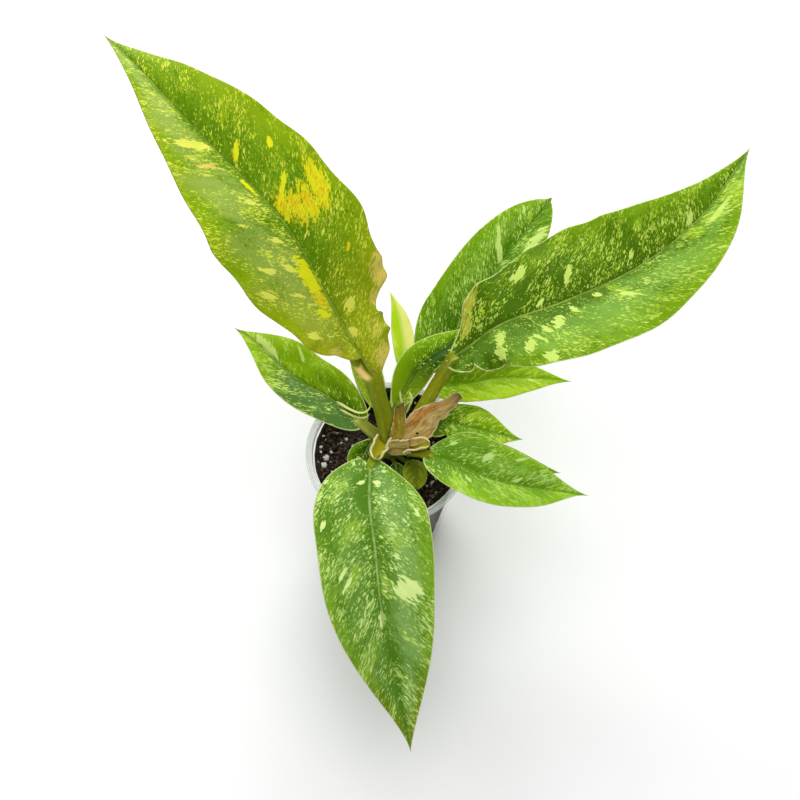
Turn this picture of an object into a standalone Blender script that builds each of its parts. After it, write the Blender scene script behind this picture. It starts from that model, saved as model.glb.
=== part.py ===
"""Ring of fire philodendron in a small clear pot, at real size in metres, +Z up.

The origin is the centre of the pot's underside. +X is right and +Y is back.
Routes and sizes are written in millimetres in this frame.
"""

import math
from dataclasses import dataclass

import bmesh
import bpy
from mathutils import Vector

MM = 0.001
FIT_GAP = 0.3

# The pot.
POT_HEIGHT = 57.0
POT_RIM_RADIUS = 32.0
POT_BASE_RADIUS = 23.0
POT_WALL = 1.0
POT_LIP_DROP = 3.0
POT_LIP_OUT = 1.5
POT_LIP_ROUND = 0.6
POT_LIP_EDGE = 0.4
POT_FLOOR = 1.5
POT_INNER_ROUND = 1.5
POT_FOOT_ROUND = 1.2
POT_STEPS = 40
DRAIN_HOLES = 5
DRAIN_RADIUS = 2.5
DRAIN_CIRCLE = 14.0
DRAIN_SIDES = 16

# The potting mix, which fills the pot up to a low mound.
SOIL_EDGE = 47.5
SOIL_MOUND = 2.5
SOIL_RINGS = 3

# The stem, which stands in a plain hole in the mix. A ring is a scar of an old leaf: height and bulge.
STEM_X = 2.0
STEM_Y = 4.5
STEM_RADIUS = 5.0
STEM_NECK = 0.3
STEM_DOME = 3.0
STEM_FOOT = 22.0
STEM_FOOT_ROUND = 3.0
STEM_TOP = 63.0
STEM_SIDES = 20
STEM_RINGS = ((54.0, 0.5), (58.0, 0.4))
STEM_RING_HALF = 1.0

# Blades.
BLADE_THICKNESS = 0.8
LOBE_REACH = 0.16
ROW_CROWDING = 0.85
LEFT_WAVE_PHASE = 1.9
WAVE_FULLNESS = 1.6

# Stalks, open sheaths and midribs. Groove, sink and thin wall are shares of the stalk's radius.
OUTER_SIDES = 6
INNER_SIDES = 3
STALK_RINGS = 6
STALK_WRAP = 130.0
STALK_GROOVE = 0.25
SHEATH_WALL = 0.8
THIN_SHEATH_WALL = 0.45
SHEATH_CLOSING = 0.25
RIB_SHARE = 0.86
RIB_TIP_RADIUS = 0.35
RIB_TAPER = 0.7
RIB_SINK = 0.3
RIB_SINK_REACH = 0.1

SMOOTH_BELOW = 40.0
SCREW_MERGE = 0.05

GREEN = (0.10, 0.27, 0.03, 1.0)
DARK_GREEN = (0.06, 0.19, 0.03, 1.0)
LIME = (0.25, 0.45, 0.04, 1.0)
PALE_LIME = (0.50, 0.60, 0.08, 1.0)
OLIVE = (0.16, 0.28, 0.03, 1.0)
PAPERY_TAN = (0.50, 0.32, 0.16, 1.0)


@dataclass(frozen=True)
class Margin:
    """One side of a blade: its half width, where it is widest, and how full its ends are."""

    width: float
    widest: float = 0.40
    blunt: float = 0.55
    full: float = 2.2
    drip: float = 1.5


@dataclass(frozen=True)
class Wave:
    """A margin that rises and falls, and swings in and out, along the blade."""

    height: float = 0.0
    swing: float = 0.0
    count: float = 5.0
    at_tip: float = 0.3
    phase: float = 0.0


@dataclass(frozen=True)
class Stalk:
    """A stalk's route from the stem, its radii, and the share of it that is an open sheath."""

    route: tuple
    base_radius: float = 2.0
    top_radius: float = 1.5
    sheath: float = 0.0


@dataclass(frozen=True)
class Leaf:
    """One leaf: a stalk from the stem, then a blade round a midrib to the tip."""

    name: str
    colour: tuple
    stalk: Stalk
    rib: tuple
    left: Margin
    right: Margin
    lobe: float = 3.0
    roll: tuple = (0.0, 0.0)
    fold: float = 8.0
    curl: float = 0.0
    wave: Wave = Wave()
    rows: int = 12
    columns: int = 3


LEAVES = (
    Leaf(
        "leaf_upper_left", OLIVE,
        Stalk(((1, 4, 57), (0, 3, 64), (-3, 7, 76), (-6, 12, 90)), 2.8, 2.4),
        rib=((-6, 12, 90), (-21, 26, 124), (-36, 42, 146), (-62, 63, 163), (-84, 85, 172), (-101, 105, 172)),
        left=Margin(29.5, 0.46, 1.1, 1.2, 1.5), right=Margin(26, 0.36, 0.65, 3.4, 2.0),
        lobe=4, wave=Wave(2.0, 1.6, 7, 0.0, 3.3), rows=20, columns=4,
    ),
    Leaf(
        "leaf_upper_right", DARK_GREEN,
        Stalk(((5, 6, 57), (9, 9, 67), (16, 15, 78), (25, 21, 90)), 2.5, 2.1),
        rib=((25, 21, 90), (42, 27, 104), (64, 28, 117), (88, 32, 131), (110, 45, 143), (130, 71, 150)),
        left=Margin(27.5, 0.36, 1.1, 2.0, 1.5), right=Margin(28.5, 0.44, 0.6, 1.7, 1.4),
        lobe=4, wave=Wave(1.6, 0.6, 7, 0.0), rows=20, columns=4,
    ),
    Leaf(
        "leaf_back_right", GREEN,
        Stalk(((3, 9, 55.5), (6, 15, 59.5), (11, 24, 64), (17, 33, 68)), 1.8, 1.5),
        rib=((17, 33, 68), (31, 49, 79), (45, 66, 91), (65, 89, 102)),
        left=Margin(17, 0.26, 0.5, 3.2, 0.6), right=Margin(14, 0.30, 0.5, 3.0, 0.7), rows=18, columns=4,
    ),
    Leaf(
        "leaf_front", GREEN,
        Stalk(((0, 1, 55), (-3, -3, 60), (-5, -10, 65)), 3.0, 2.0, 0.7),
        rib=((-5, -10, 65), (-6, -30, 70), (-4, -47, 69), (-2, -65, 64), (2, -83, 55), (9, -112, 36)),
        left=Margin(21, 0.26, 0.9, 2.7, 1.4), right=Margin(21, 0.24, 0.7, 2.9, 1.8),
        lobe=4, rows=18, columns=4,
    ),
    Leaf(
        "leaf_centre_dark", DARK_GREEN,
        Stalk(((2, 8.5, 60), (3.5, 12, 63.5), (4, 15, 67)), 1.8, 1.5, 0.8),
        rib=((4, 15, 67), (13, 28, 76), (24, 33, 82), (37, 40, 85)),
        left=Margin(8), right=Margin(7.5),
    ),
    Leaf(
        "leaf_back_new", PALE_LIME,
        Stalk(((0.5, 9.5, 54), (1, 18, 60), (5, 29, 67)), 1.3, 1.0),
        rib=((5, 29, 67), (5, 40, 73), (4, 50, 78), (1, 59, 82)),
        left=Margin(4), right=Margin(4.5), lobe=1, rows=8, columns=2,
    ),
    Leaf(
        "leaf_right_lime", LIME,
        Stalk(((5.5, 8, 52.5), (10, 13, 56), (15, 20, 61), (19, 25, 64)), 1.7, 1.5),
        rib=((19, 25, 64), (32, 25, 67), (44, 26, 69), (59, 25, 70), (73, 24, 69)),
        left=Margin(10, 0.5, 0.5, 1.5, 1.6), right=Margin(10.5, 0.5, 0.4, 1.5, 1.6),
    ),
    Leaf(
        "leaf_right_middle", GREEN,
        Stalk(((5, 4, 53.5), (11, 5, 57.5), (18, 6, 62)), 1.6, 1.3),
        rib=((18, 6, 62), (24, 8, 64), (39, 4, 65), (53, 1, 63)),
        left=Margin(9.5, 0.4, 0.5, 2.1, 2.0), right=Margin(8.5),
    ),
    Leaf(
        "leaf_right_front", GREEN,
        Stalk(((4.5, 0.5, 57), (9, -3, 62), (17, -8, 67)), 2.6, 1.7, 0.7),
        rib=((17, -8, 67), (26, -13, 71), (39, -21, 73), (57, -24, 71), (76, -25, 66)),
        left=Margin(14.5, 0.24, 0.9, 3.0, 1.8), right=Margin(11, 0.26, 0.8, 4.0, 2.6),
    ),
    Leaf(
        "leaf_right_hidden", GREEN,
        Stalk(((5, 1.5, 52.5), (11, -1, 54.5), (19, -4, 60)), 1.0, 0.9),
        rib=((19, -4, 60), (36, -7, 63), (51, -10, 62), (67, -12, 60)),
        left=Margin(8), right=Margin(8), rows=8, columns=2,
    ),
    Leaf(
        "leaf_left", DARK_GREEN,
        Stalk(((-1, 5, 55), (-5, 5.5, 60), (-8, 6, 64), (-11, 7, 67)), 2.1, 1.7, 0.5),
        rib=((-11, 7, 67), (-22, 15, 72), (-35, 22, 75), (-52, 37, 78), (-61, 44, 78)),
        left=Margin(12, 0.3, 0.5, 2.1, 1.5), right=Margin(12.5, 0.45, 0.4, 2.9, 2.3),
    ),
    Leaf(
        "leaf_back_left", LIME,
        Stalk(((0, 8, 57), (-2, 12, 61), (-4, 15, 65)), 1.4, 1.1),
        rib=((-4, 15, 65), (-6, 22, 69), (-9, 30, 74), (-11, 38, 78)),
        left=Margin(5.5), right=Margin(5.5), lobe=1, rows=8, columns=2,
    ),
    Leaf(
        "leaf_front_small", GREEN,
        Stalk(((-1, 4, 53), (-6, 3, 55), (-8, 1, 57)), 1.2, 0.9),
        rib=((-8, 1, 57), (-11, -5, 58), (-14, -12, 57)),
        left=Margin(5), right=Margin(5), lobe=1.5, rows=8, columns=2,
    ),
    Leaf(
        "leaf_low_oval", OLIVE,
        Stalk(((3.5, 0.5, 52), (7, -2.5, 52.6), (10, -4, 55)), 1.0, 0.9),
        rib=((10, -4, 55), (12, -9, 56), (12.5, -15, 54)),
        left=Margin(4.2), right=Margin(4.2), lobe=1, rows=8, columns=2,
    ),
    Leaf(
        "leaf_low_small", DARK_GREEN,
        Stalk(((2, 1, 52), (2.4, -2.5, 53.2), (3.3, -5, 54.2)), 1.0, 0.9),
        rib=((3.3, -5, 54.2), (4, -9, 54.2), (5.2, -13, 53)),
        left=Margin(3.5), right=Margin(3.3), lobe=1, rows=8, columns=2,
    ),
    Leaf(
        "sheath_strip", PAPERY_TAN,
        Stalk(((4, 1, 58), (4.2, -1, 61)), 1.0, 1.0),
        rib=((4.2, -1, 61), (4.4, 3.2, 67), (4.4, 9, 75)),
        left=Margin(2.1, 0.4, 0.3, 4, 0.8), right=Margin(2.0, 0.4, 0.3, 4, 0.8),
        lobe=0, fold=-20, rows=8, columns=2,
    ),
    Leaf(
        "sheath_flap", PAPERY_TAN,
        Stalk(((6.2, 3, 60), (8.7, 0, 64.5)), 0.8, 0.8),
        rib=((8.7, 0, 64.5), (14, 5, 68), (22, 10, 71), (29, 15, 75)),
        left=Margin(3.5, 0.4, 0.3, 2.2, 1.0), right=Margin(5, 0.3, 0.3, 2.2, 1.0),
        lobe=0, fold=-12, rows=8, columns=2,
    ),
)


def clear_scene():
    """Remove every object that the startup scene holds."""
    for obj in list(bpy.data.objects):
        bpy.data.objects.remove(obj, do_unlink=True)


def new_collection(name):
    """Add a collection to the scene."""
    collection = bpy.data.collections.new(name)
    bpy.context.scene.collection.children.link(collection)
    return collection


def new_material(name, colour, roughness, metallic=0.0):
    """Make a plain material of one colour."""
    material = bpy.data.materials.new(name)
    material.use_nodes = True
    shader = material.node_tree.nodes["Principled BSDF"]
    shader.inputs["Base Color"].default_value = colour
    shader.inputs["Roughness"].default_value = roughness
    shader.inputs["Metallic"].default_value = metallic
    return material


def mesh_object(name, points, edges, faces, collection, material=None):
    """Make an object from points in millimetres, with edges or faces between them."""
    mesh = bpy.data.meshes.new(name)
    mesh.from_pydata([tuple(c * MM for c in point) for point in points], edges, faces)
    obj = bpy.data.objects.new(name, mesh)
    collection.objects.link(obj)
    if material:
        mesh.materials.append(material)
    return obj


def shade(obj):
    """Shade round faces smooth and keep hard edges."""
    obj.data.shade_smooth()
    obj.data.set_sharp_from_angle(angle=math.radians(SMOOTH_BELOW))


def apply_modifiers(obj):
    """Give the object the mesh that its modifiers make."""
    graph = bpy.context.evaluated_depsgraph_get()
    mesh = bpy.data.meshes.new_from_object(obj.evaluated_get(graph))
    obj.modifiers.clear()
    obj.data = mesh


def face_outward(obj):
    """Turn all faces of a closed mesh outward."""
    cage = bmesh.new()
    cage.from_mesh(obj.data)
    bmesh.ops.recalc_face_normals(cage, faces=cage.faces)
    cage.to_mesh(obj.data)
    cage.free()


def boolean(obj, other, operation, solver="EXACT"):
    """Cut or join one object with another, and apply it."""
    modifier = obj.modifiers.new(operation.lower(), "BOOLEAN")
    modifier.operation = operation
    modifier.solver = solver
    modifier.object = other
    apply_modifiers(obj)


def as_cutter(obj):
    """Leave a helper out of the render."""
    obj.hide_render = True
    obj.display_type = "WIRE"


def arc(radius, height, bend, start, stop, steps):
    """Points (radius, height) along an arc of a turned profile, from one angle in degrees to another."""
    points = []
    for step in range(steps + 1):
        angle = math.radians(start + (stop - start) * step / steps)
        points.append((radius + bend * math.cos(angle), height + bend * math.sin(angle)))
    return points


def turned(name, profile, steps, collection, material=None, centre=(0.0, 0.0)):
    """Turn a profile of (radius, height) round an upright axis."""
    points = [(radius, 0.0, height) for radius, height in profile]
    edges = [(i, i + 1) for i in range(len(points) - 1)]
    obj = mesh_object(name, points, edges, [], collection, material)
    obj.location = (centre[0] * MM, centre[1] * MM, 0.0)
    screw = obj.modifiers.new("turn", "SCREW")
    screw.axis = "Z"
    screw.steps = steps
    screw.render_steps = steps
    screw.use_merge_vertices = True
    screw.merge_threshold = SCREW_MERGE * MM
    bpy.context.view_layer.update()
    return obj


class Spine:
    """A smooth route through a few points, read at any share of its length."""

    SAMPLES = 65
    STEPS_A_SPAN = 16
    NEAR = 0.03

    def __init__(self, route, side_hint=None):
        fine = self.curve([Vector(point) for point in route])
        along = [0.0]
        for a, b in zip(fine, fine[1:]):
            along.append(along[-1] + (b - a).length)
        self.length = along[-1]
        self.side_hint = side_hint
        self.points = []
        index = 0
        for step in range(self.SAMPLES):
            target = self.length * step / (self.SAMPLES - 1)
            while index < len(fine) - 2 and along[index + 1] < target:
                index += 1
            part = (target - along[index]) / (along[index + 1] - along[index])
            self.points.append(fine[index].lerp(fine[index + 1], part))

    def curve(self, knots):
        """Points on a Catmull-Rom curve through the knots."""
        knots = [2 * knots[0] - knots[1]] + knots + [2 * knots[-1] - knots[-2]]
        fine = []
        for a, b, c, d in zip(knots, knots[1:], knots[2:], knots[3:]):
            for step in range(self.STEPS_A_SPAN):
                u = step / self.STEPS_A_SPAN
                bend = (2 * a - 5 * b + 4 * c - d) * u**2 + (3 * b - a - 3 * c + d) * u**3
                fine.append(0.5 * (2 * b + (c - a) * u + bend))
        fine.append(knots[-2])
        return fine

    def place(self, share):
        """The point at a share of the length, going straight on past either end."""
        last = self.SAMPLES - 1
        index = min(max(int(share * last), 0), last - 1)
        return self.points[index].lerp(self.points[index + 1], share * last - index)

    def frame(self, share, roll=0.0):
        """The point, right-hand side and face at a share of the length."""
        near = min(max(share, 0.0), 1.0)
        direction = (self.place(near + self.NEAR) - self.place(near - self.NEAR)).normalized()
        side = self.side_hint or direction.cross(Vector((0.0, 0.0, 1.0)))
        side = (side - direction * side.dot(direction)).normalized()
        face = side.cross(direction)
        angle = math.radians(roll)
        rolled_side = side * math.cos(angle) + face * math.sin(angle)
        rolled_face = face * math.cos(angle) - side * math.sin(angle)
        return self.place(share), rolled_side, rolled_face


def margin_share(margin, share):
    """How much of its greatest width a margin has at a share of the length."""
    if share < margin.widest:
        return (1 - (1 - share / margin.widest) ** 2) ** margin.blunt
    beyond = (share - margin.widest) / (1 - margin.widest)
    return max(1 - beyond**margin.full, 0.0) ** margin.drip


def blade_point(leaf, spine, share, across):
    """A point of the blade: across runs from -1 at the left margin to 1 at the right."""
    margin = leaf.right if across > 0 else leaf.left
    out = abs(across)
    fullness = margin_share(margin, share)
    phase = leaf.wave.phase if across > 0 else leaf.wave.phase + LEFT_WAVE_PHASE
    cycle = 2 * math.pi * leaf.wave.count * share + phase
    strength = leaf.wave.at_tip * share + (1 - share) ** 2
    strength *= min(1.0, fullness * WAVE_FULLNESS)
    rise = leaf.wave.height * strength * out**2 * math.sin(cycle)
    width = (margin.width * fullness + leaf.wave.swing * strength * math.cos(cycle)) * out
    back = leaf.lobe * out**1.5 * max(0.0, 1 - share / LOBE_REACH) ** 2
    roll = leaf.roll[0] + (leaf.roll[1] - leaf.roll[0]) * share
    centre, side, face = spine.frame(share - back / spine.length, roll)
    fold = math.radians(leaf.fold)
    lift = width * math.sin(fold) - leaf.curl * out**2 * fullness + rise
    return centre + side * math.copysign(width * math.cos(fold), across) + face * lift


def blade_sheet(leaf, spine):
    """The blade as one sheet of points and triangles, alike on both sides of the midrib."""
    shares = []
    for row in range(1, leaf.rows):
        shares.append(0.5 - 0.5 * math.cos(math.pi * (row / leaf.rows) ** ROW_CROWDING))
    spread = 2 * leaf.columns + 1
    points = [spine.place(0.0)]
    for share in shares:
        for column in range(spread):
            points.append(blade_point(leaf, spine, share, column / leaf.columns - 1))
    points.append(spine.place(1.0))
    faces = []
    for column in range(spread - 1):
        faces.append((0, 2 + column, 1 + column))
    for row in range(len(shares) - 1):
        for column in range(spread - 1):
            a = 1 + row * spread + column
            b, c, d = a + 1, a + spread + 1, a + spread
            if column < leaf.columns:
                faces += [(a, b, c), (a, c, d)]
            else:
                faces += [(a, b, d), (b, c, d)]
    first = 1 + (len(shares) - 1) * spread
    for column in range(spread - 1):
        faces.append((first + column, first + column + 1, len(points) - 1))
    return points, faces


def stalk_ring(centre, side, face, radius, open_share):
    """A section of a stalk: a round back, and a front that goes from nearly flat to an open channel."""
    wrap = math.radians(STALK_WRAP)
    inside = radius - min(SHEATH_WALL, THIN_SHEATH_WALL * radius)
    flat = []
    for corner in range(OUTER_SIDES):
        angle = wrap * (2 * corner / (OUTER_SIDES - 1) - 1)
        flat.append((radius * math.sin(angle), -radius * math.cos(angle)))
    rim = flat[-1]
    for corner in range(1, INNER_SIDES + 1):
        part = corner / (INNER_SIDES + 1)
        angle = wrap * (1 - 2 * part)
        groove = STALK_GROOVE * radius * math.sin(math.pi * part)
        chord = (rim[0] * (1 - 2 * part), rim[1] - groove)
        channel = (inside * math.sin(angle), -inside * math.cos(angle))
        flat.append(tuple(a + (b - a) * open_share for a, b in zip(chord, channel)))
    return [centre + side * a + face * b for a, b in flat]


def stalk_loft(leaf, spine):
    """The stalk, its open sheath and the midrib under the blade, as one tapering loft."""
    stalk = leaf.stalk
    _, rib_side, _ = spine.frame(0.0, leaf.roll[0])
    path = Spine(stalk.route, rib_side)
    rings = []
    for step in range(STALK_RINGS):
        share = step / STALK_RINGS
        radius = stalk.base_radius + (stalk.top_radius - stalk.base_radius) * share
        closed = min(1.0, max(0.0, (share - stalk.sheath) / SHEATH_CLOSING)) if stalk.sheath else 1.0
        rings.append(stalk_ring(*path.frame(share), radius, 1.0 - closed))
    rib_steps = max(4, leaf.rows // 2)
    for step in range(rib_steps + 1):
        share = RIB_SHARE * step / rib_steps
        centre, side, face = spine.frame(share, leaf.roll[0] + (leaf.roll[1] - leaf.roll[0]) * share)
        radius = stalk.top_radius + (RIB_TIP_RADIUS - stalk.top_radius) * (step / rib_steps) ** RIB_TAPER
        sink = radius * RIB_SINK * min(1.0, share / RIB_SINK_REACH)
        rings.append(stalk_ring(centre - face * sink, side, face, radius, 0.0))
    sides = OUTER_SIDES + INNER_SIDES
    points = [point for ring in rings for point in ring]
    faces = []
    for ring in range(len(rings) - 1):
        for corner in range(sides):
            a = ring * sides + corner
            b = ring * sides + (corner + 1) % sides
            faces.append((a, a + sides, b + sides, b))
    for ring in (0, len(rings) - 1):
        faces.append(tuple(ring * sides + corner for corner in range(sides)))
    return points, faces


def add_leaf(leaf, plant, stem_cutter):
    """Make one leaf as one solid, seated on the stem."""
    spine = Spine(leaf.rib)
    points, faces = blade_sheet(leaf, spine)
    blade = mesh_object(leaf.name, points, [], faces, plant, new_material(leaf.name, leaf.colour, 0.4))
    thicken = blade.modifiers.new("thickness", "SOLIDIFY")
    thicken.thickness = BLADE_THICKNESS * MM
    thicken.offset = 0.0
    apply_modifiers(blade)
    face_outward(blade)
    points, faces = stalk_loft(leaf, spine)
    stalk = mesh_object(leaf.name + "_stalk", points, [], faces, plant)
    face_outward(stalk)
    boolean(blade, stalk, "UNION", "MANIFOLD")
    bpy.data.objects.remove(stalk, do_unlink=True)
    boolean(blade, stem_cutter, "DIFFERENCE", "MANIFOLD")
    shade(blade)
    return blade


def pot_inner_radius(height):
    """The radius of the pot's inner wall at a height between its floor and its lip."""
    low = POT_FLOOR + POT_INNER_ROUND
    share = (height - low) / (POT_HEIGHT - POT_WALL - low)
    return POT_BASE_RADIUS - POT_WALL + (POT_RIM_RADIUS - POT_LIP_OUT - POT_BASE_RADIUS) * share


def add_pot(plant, cutters):
    """The clear pot: a thin wall with a rolled lip, and drain holes round a solid centre."""
    inner_base = POT_BASE_RADIUS - POT_WALL
    under_lip = POT_RIM_RADIUS - POT_LIP_OUT
    lip_foot = POT_HEIGHT - POT_LIP_DROP
    profile = [(0.0, POT_FLOOR)]
    profile += arc(inner_base - POT_INNER_ROUND, POT_FLOOR + POT_INNER_ROUND, POT_INNER_ROUND, -90, 0, 2)
    profile += arc(under_lip, POT_HEIGHT - POT_WALL, POT_WALL, 180, 90, 3)
    profile += arc(POT_RIM_RADIUS - POT_LIP_ROUND, POT_HEIGHT - POT_LIP_ROUND, POT_LIP_ROUND, 90, 0, 3)
    profile += arc(POT_RIM_RADIUS - POT_LIP_EDGE, lip_foot + POT_LIP_EDGE, POT_LIP_EDGE, 0, -90, 2)
    profile.append((under_lip, lip_foot))
    profile += arc(POT_BASE_RADIUS - POT_FOOT_ROUND, POT_FOOT_ROUND, POT_FOOT_ROUND, 0, -90, 2)
    profile.append((0.0, 0.0))
    material = new_material("clear_plastic", (0.80, 0.83, 0.82, 1.0), 0.25)
    pot = turned("pot", profile, POT_STEPS, plant, material)
    for hole in range(DRAIN_HOLES):
        angle = 2 * math.pi * hole / DRAIN_HOLES
        bpy.ops.mesh.primitive_cylinder_add(
            vertices=DRAIN_SIDES,
            radius=DRAIN_RADIUS * MM,
            depth=4 * POT_FLOOR * MM,
            location=(DRAIN_CIRCLE * math.cos(angle) * MM, DRAIN_CIRCLE * math.sin(angle) * MM, 0.0),
        )
        cutter = bpy.context.object
        cutter.name = f"drain_cutter_{hole + 1}"
        for holder in list(cutter.users_collection):
            holder.objects.unlink(cutter)
        cutters.objects.link(cutter)
        as_cutter(cutter)
        cut = pot.modifiers.new(cutter.name, "BOOLEAN")
        cut.object = cutter
    shade(pot)
    return pot


def stem_profile(grow):
    """The stem's profile from its domed top down to its blunt foot, grown all round."""
    neck = STEM_RADIUS - STEM_NECK + grow
    profile = []
    for radius, height in arc(0.0, 0.0, 1.0, 90, 0, 3):
        profile.append((neck * radius, STEM_TOP - STEM_DOME + (STEM_DOME + grow) * height))
    for height, bulge in reversed(STEM_RINGS):
        profile.append((neck, height + STEM_RING_HALF))
        profile.append((neck + bulge, height))
        profile.append((neck, height - STEM_RING_HALF))
    profile.append((STEM_RADIUS + grow, SOIL_EDGE))
    foot_radius = STEM_RADIUS - STEM_FOOT_ROUND
    profile += arc(foot_radius, STEM_FOOT + STEM_FOOT_ROUND, STEM_FOOT_ROUND + grow, 0, -90, 2)
    profile.append((0.0, STEM_FOOT - grow))
    return profile


def add_soil(plant):
    """The potting mix, with its mound, a little inside the pot's wall and floor."""
    edge = pot_inner_radius(SOIL_EDGE) - FIT_GAP
    floor = POT_FLOOR + FIT_GAP
    low = floor + POT_INNER_ROUND
    profile = []
    for ring in range(SOIL_RINGS + 1):
        share = ring / SOIL_RINGS
        profile.append((edge * share, SOIL_EDGE + SOIL_MOUND * (1 - share**2)))
    profile.append((pot_inner_radius(low) - FIT_GAP, low))
    profile.append((pot_inner_radius(low) - FIT_GAP - POT_INNER_ROUND, floor))
    profile.append((0.0, floor))
    material = new_material("potting_mix", (0.05, 0.03, 0.02, 1.0), 0.95)
    soil = turned("potting_mix", profile, POT_STEPS, plant, material)
    apply_modifiers(soil)
    return soil


def add_stem(plant, cutters):
    """The stem, and a copy grown by the fit gap that cuts the mix and the stalks."""
    material = new_material("stem", (0.20, 0.30, 0.06, 1.0), 0.5)
    place = (STEM_X, STEM_Y)
    stem = turned("stem", stem_profile(0.0), STEM_SIDES, plant, material, place)
    cutter = turned("stem_cutter", stem_profile(FIT_GAP), STEM_SIDES, cutters, None, place)
    apply_modifiers(cutter)
    as_cutter(cutter)
    shade(stem)
    return cutter


def main():
    """Build the potted plant."""
    clear_scene()
    plant = new_collection("ring_of_fire_philodendron")
    cutters = new_collection("cutters")
    add_pot(plant, cutters)
    soil = add_soil(plant)
    stem_cutter = add_stem(plant, cutters)
    boolean(soil, stem_cutter, "DIFFERENCE")
    shade(soil)
    for leaf in LEAVES:
        add_leaf(leaf, plant, stem_cutter)


main()
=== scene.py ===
"""Looks of a young ring of fire philodendron in its small clear pot.

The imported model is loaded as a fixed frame, and fine pieces are laid over its nodes.
Places and sizes are in millimetres in the model's own frame, unless a name says otherwise.
"""

import logging
import math
from dataclasses import dataclass, field
from enum import Enum
from typing import Any

import bmesh
import bpy
import numpy as np
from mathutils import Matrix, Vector, noise


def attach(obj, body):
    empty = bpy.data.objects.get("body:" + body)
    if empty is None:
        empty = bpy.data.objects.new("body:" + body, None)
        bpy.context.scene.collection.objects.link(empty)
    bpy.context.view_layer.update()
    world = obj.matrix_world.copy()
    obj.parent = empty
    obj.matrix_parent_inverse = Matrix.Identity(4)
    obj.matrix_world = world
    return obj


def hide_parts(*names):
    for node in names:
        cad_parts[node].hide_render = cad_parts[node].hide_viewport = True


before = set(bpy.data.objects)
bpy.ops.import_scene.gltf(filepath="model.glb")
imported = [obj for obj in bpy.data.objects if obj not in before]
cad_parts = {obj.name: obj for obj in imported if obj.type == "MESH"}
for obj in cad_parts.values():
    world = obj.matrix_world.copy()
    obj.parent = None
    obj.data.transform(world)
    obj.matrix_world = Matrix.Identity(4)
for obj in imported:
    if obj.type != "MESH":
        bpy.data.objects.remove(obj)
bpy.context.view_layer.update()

MM = 0.001
BODY = "root"
STEM_PLACE = (2.0, 4.5)
LOG = logging.getLogger("philodendron")

Colour = tuple[float, float, float]
Route = tuple[tuple[float, float, float], ...]


class Socket:
    """A shader socket that takes part in sums: each operator adds the node that works it out."""

    def __init__(self, graph: "Graph", link: bpy.types.NodeSocket) -> None:
        """Wrap one output of a node."""
        self.graph = graph
        self.link = link

    def __add__(self, other: Any) -> "Socket":
        """Add a socket or a number."""
        return self.graph.maths("ADD", self, other)

    def __radd__(self, other: Any) -> "Socket":
        """Be added to a number."""
        return self.graph.maths("ADD", other, self)

    def __sub__(self, other: Any) -> "Socket":
        """Take a socket or a number away."""
        return self.graph.maths("SUBTRACT", self, other)

    def __rsub__(self, other: Any) -> "Socket":
        """Be taken away from a number."""
        return self.graph.maths("SUBTRACT", other, self)

    def __mul__(self, other: Any) -> "Socket":
        """Multiply by a socket or a number."""
        return self.graph.maths("MULTIPLY", self, other)

    def __rmul__(self, other: Any) -> "Socket":
        """Multiply a number."""
        return self.graph.maths("MULTIPLY", other, self)

    def __truediv__(self, other: Any) -> "Socket":
        """Divide by a socket or a number."""
        return self.graph.maths("DIVIDE", self, other)

    def __abs__(self) -> "Socket":
        """Drop the sign."""
        return self.graph.maths("ABSOLUTE", self)


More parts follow.
